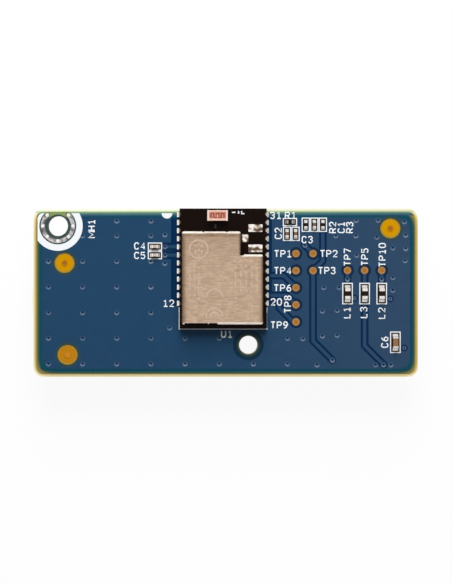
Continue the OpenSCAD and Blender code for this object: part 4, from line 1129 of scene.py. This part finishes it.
class CARD_OT_mark_shield(CardOperator, bpy.types.Operator):
    """Etch faint rings and columns of dashes on the shield"""

    bl_idname = "card.mark_shield"
    bl_label = "Mark Shield"

    def execute(self, context):
        sizes = context.scene.card_sizes
        middle = (SHIELD_LOW + SHIELD_HIGH) / 2
        paths = []
        for (x, y), radius, share in ETCHED_RINGS:
            steps = [math.tau * share * k / ETCHED_CORNERS for k in range(ETCHED_CORNERS + 1)]
            turn = [((x + radius * math.cos(a)) * MM, (y + radius * math.sin(a)) * MM) for a in steps]
            paths.append(turn[:-1] + turn[:1] if share == 1 else turn)
        for x, upper, lower in ETCHED_COLUMNS:
            y, k = upper, 0
            while y > lower:
                length = DASH_LENGTH + DASH_GROWTH * (k * k % DASH_LENGTHS)
                paths.append([(x * MM, y * MM), (x * MM, (y - length) * MM)])
                y -= length + DASH_GAP
                k += 1
        drawn_piece("shield_marks", paths, sizes.etch_stroke, sizes.film_height / 4,
                    (middle.x, middle.y, SHIELD_HIGH.z),
                    plain("etched_tin", tone("shield", WHITE, 0.03)))
        return {"FINISHED"}


class CARD_OT_set_stage(CardOperator, bpy.types.Operator):
    """Set up the floor, the soft lights, the white surroundings and the camera"""

    bl_idname = "card.set_stage"
    bl_label = "Set Stage"

    def execute(self, context):
        scene = context.scene
        scene.view_settings.view_transform = "Standard"
        build_floor(scene)
        build_world(scene)
        build_lamps(scene)
        build_camera(scene)
        return {"FINISHED"}


# Stage

def seen_rays(nodes):
    """One for rays that show the background: straight from the camera, mirrored or through glass."""
    path = nodes.add("LightPath")
    mirrored = nodes.sum("MAXIMUM", path["Is Glossy Ray"], path["Is Transmission Ray"])
    return nodes.sum("MAXIMUM", path["Is Camera Ray"], mirrored)


def build_floor(scene):
    """White floor that glows to the camera and still takes the card's shadow."""
    shape = bmesh.new()
    bmesh.ops.create_grid(shape, x_segments=1, y_segments=1, size=FLOOR_SIDE / 2)
    mesh = bpy.data.meshes.new("floor")
    shape.to_mesh(mesh)
    shape.free()
    floor = bpy.data.objects.new("floor", mesh)
    scene.collection.objects.link(floor)
    material = bpy.data.materials.new("floor_paint")
    material.use_nodes = True
    nodes = Nodes(material.node_tree)
    paper = nodes.tree.nodes["Principled BSDF"]
    nodes.feed(paper.inputs["Base Color"], "floor")
    nodes.feed(paper.inputs["Roughness"], FLOOR_ROUGHNESS)
    share = nodes.times(seen_rays(nodes), FLOOR_WHITE)
    both = nodes.add("MixShader", {0: share, 1: paper.outputs[0], 2: nodes.add("Emission")[0]})
    nodes.feed(nodes.tree.nodes["Material Output"].inputs["Surface"], both[0])
    mesh.materials.append(material)


def build_world(scene):
    """Even surroundings: white where they are seen, softer as light."""
    scene.world = bpy.data.worlds.new("studio")
    scene.world.use_nodes = True
    nodes = Nodes(scene.world.node_tree)
    sky = nodes.tree.nodes["Background"]
    nodes.feed(sky.inputs["Color"], WHITE)
    nodes.feed(sky.inputs["Strength"], nodes.sum("MULTIPLY_ADD", seen_rays(nodes), 1.0 - AMBIENT, AMBIENT))


def build_lamps(scene):
    """Large soft lamps that look at the card; metal mirrors the white surroundings and not the lamps."""
    for name, place, side, watts in LAMPS:
        lamp = bpy.data.lights.new(name, "AREA")
        lamp.size = side
        lamp.energy = watts
        holder = bpy.data.objects.new(name, lamp)
        facing = Vector(place).to_track_quat("Z", "Y").to_matrix().to_4x4()
        holder.matrix_world = Matrix.Translation(place) @ facing
        holder.visible_glossy = False
        scene.collection.objects.link(holder)


def build_camera(scene):
    """Camera that looks straight down, with the card where the photograph has it."""
    lens = bpy.data.cameras.new("camera")
    lens.lens = LENS
    lens.sensor_width = SENSOR
    lens.clip_start = NEAREST
    distance = IMAGE_HEIGHT / PIXELS_PER_MM * MM * LENS / SENSOR
    right = (IMAGE_WIDTH / 2 - BOARD_MIDDLE_PIXEL[0]) / PIXELS_PER_MM * MM
    up = (BOARD_MIDDLE_PIXEL[1] - IMAGE_HEIGHT / 2) / PIXELS_PER_MM * MM
    camera = bpy.data.objects.new("camera", lens)
    camera.location = (right, up, MASK_TOP + distance)
    scene.collection.objects.link(camera)
    scene.camera = camera


# Panel and registration

STEPS = (
    CARD_OT_finish_board,
    CARD_OT_finish_metal,
    CARD_OT_finish_parts,
    CARD_OT_letter_board,
    CARD_OT_rim_vias,
    CARD_OT_rim_pads,
    CARD_OT_lay_flux,
    CARD_OT_print_aerial,
    CARD_OT_mark_shield,
    CARD_OT_set_stage,
)


class CARD_PT_looks(bpy.types.Panel):
    """Lists the card's steps, sizes and colours"""

    bl_idname = "CARD_PT_looks"
    bl_label = "Radio Card"
    bl_space_type = "VIEW_3D"
    bl_region_type = "UI"
    bl_category = "Radio Card"

    def draw(self, context):
        for step in STEPS:
            self.layout.operator(step.bl_idname)
        for group in (context.scene.card_sizes, context.scene.card_colours):
            for name in group.bl_rna.properties.keys():
                if name not in {"rna_type", "name"}:
                    self.layout.prop(group, name)


CLASSES = (CardSizes, CardColours, *STEPS, CARD_PT_looks)


def register():
    for made in CLASSES:
        bpy.utils.register_class(made)
    bpy.types.Scene.card_sizes = bpy.props.PointerProperty(type=CardSizes)
    bpy.types.Scene.card_colours = bpy.props.PointerProperty(type=CardColours)


def unregister():
    del bpy.types.Scene.card_colours
    del bpy.types.Scene.card_sizes
    for made in reversed(CLASSES):
        bpy.utils.unregister_class(made)


def main():
    register()
    for step in STEPS:
        area, name = step.bl_idname.split(".")
        getattr(getattr(bpy.ops, area), name)()


if __name__ == "__main__":
    main()
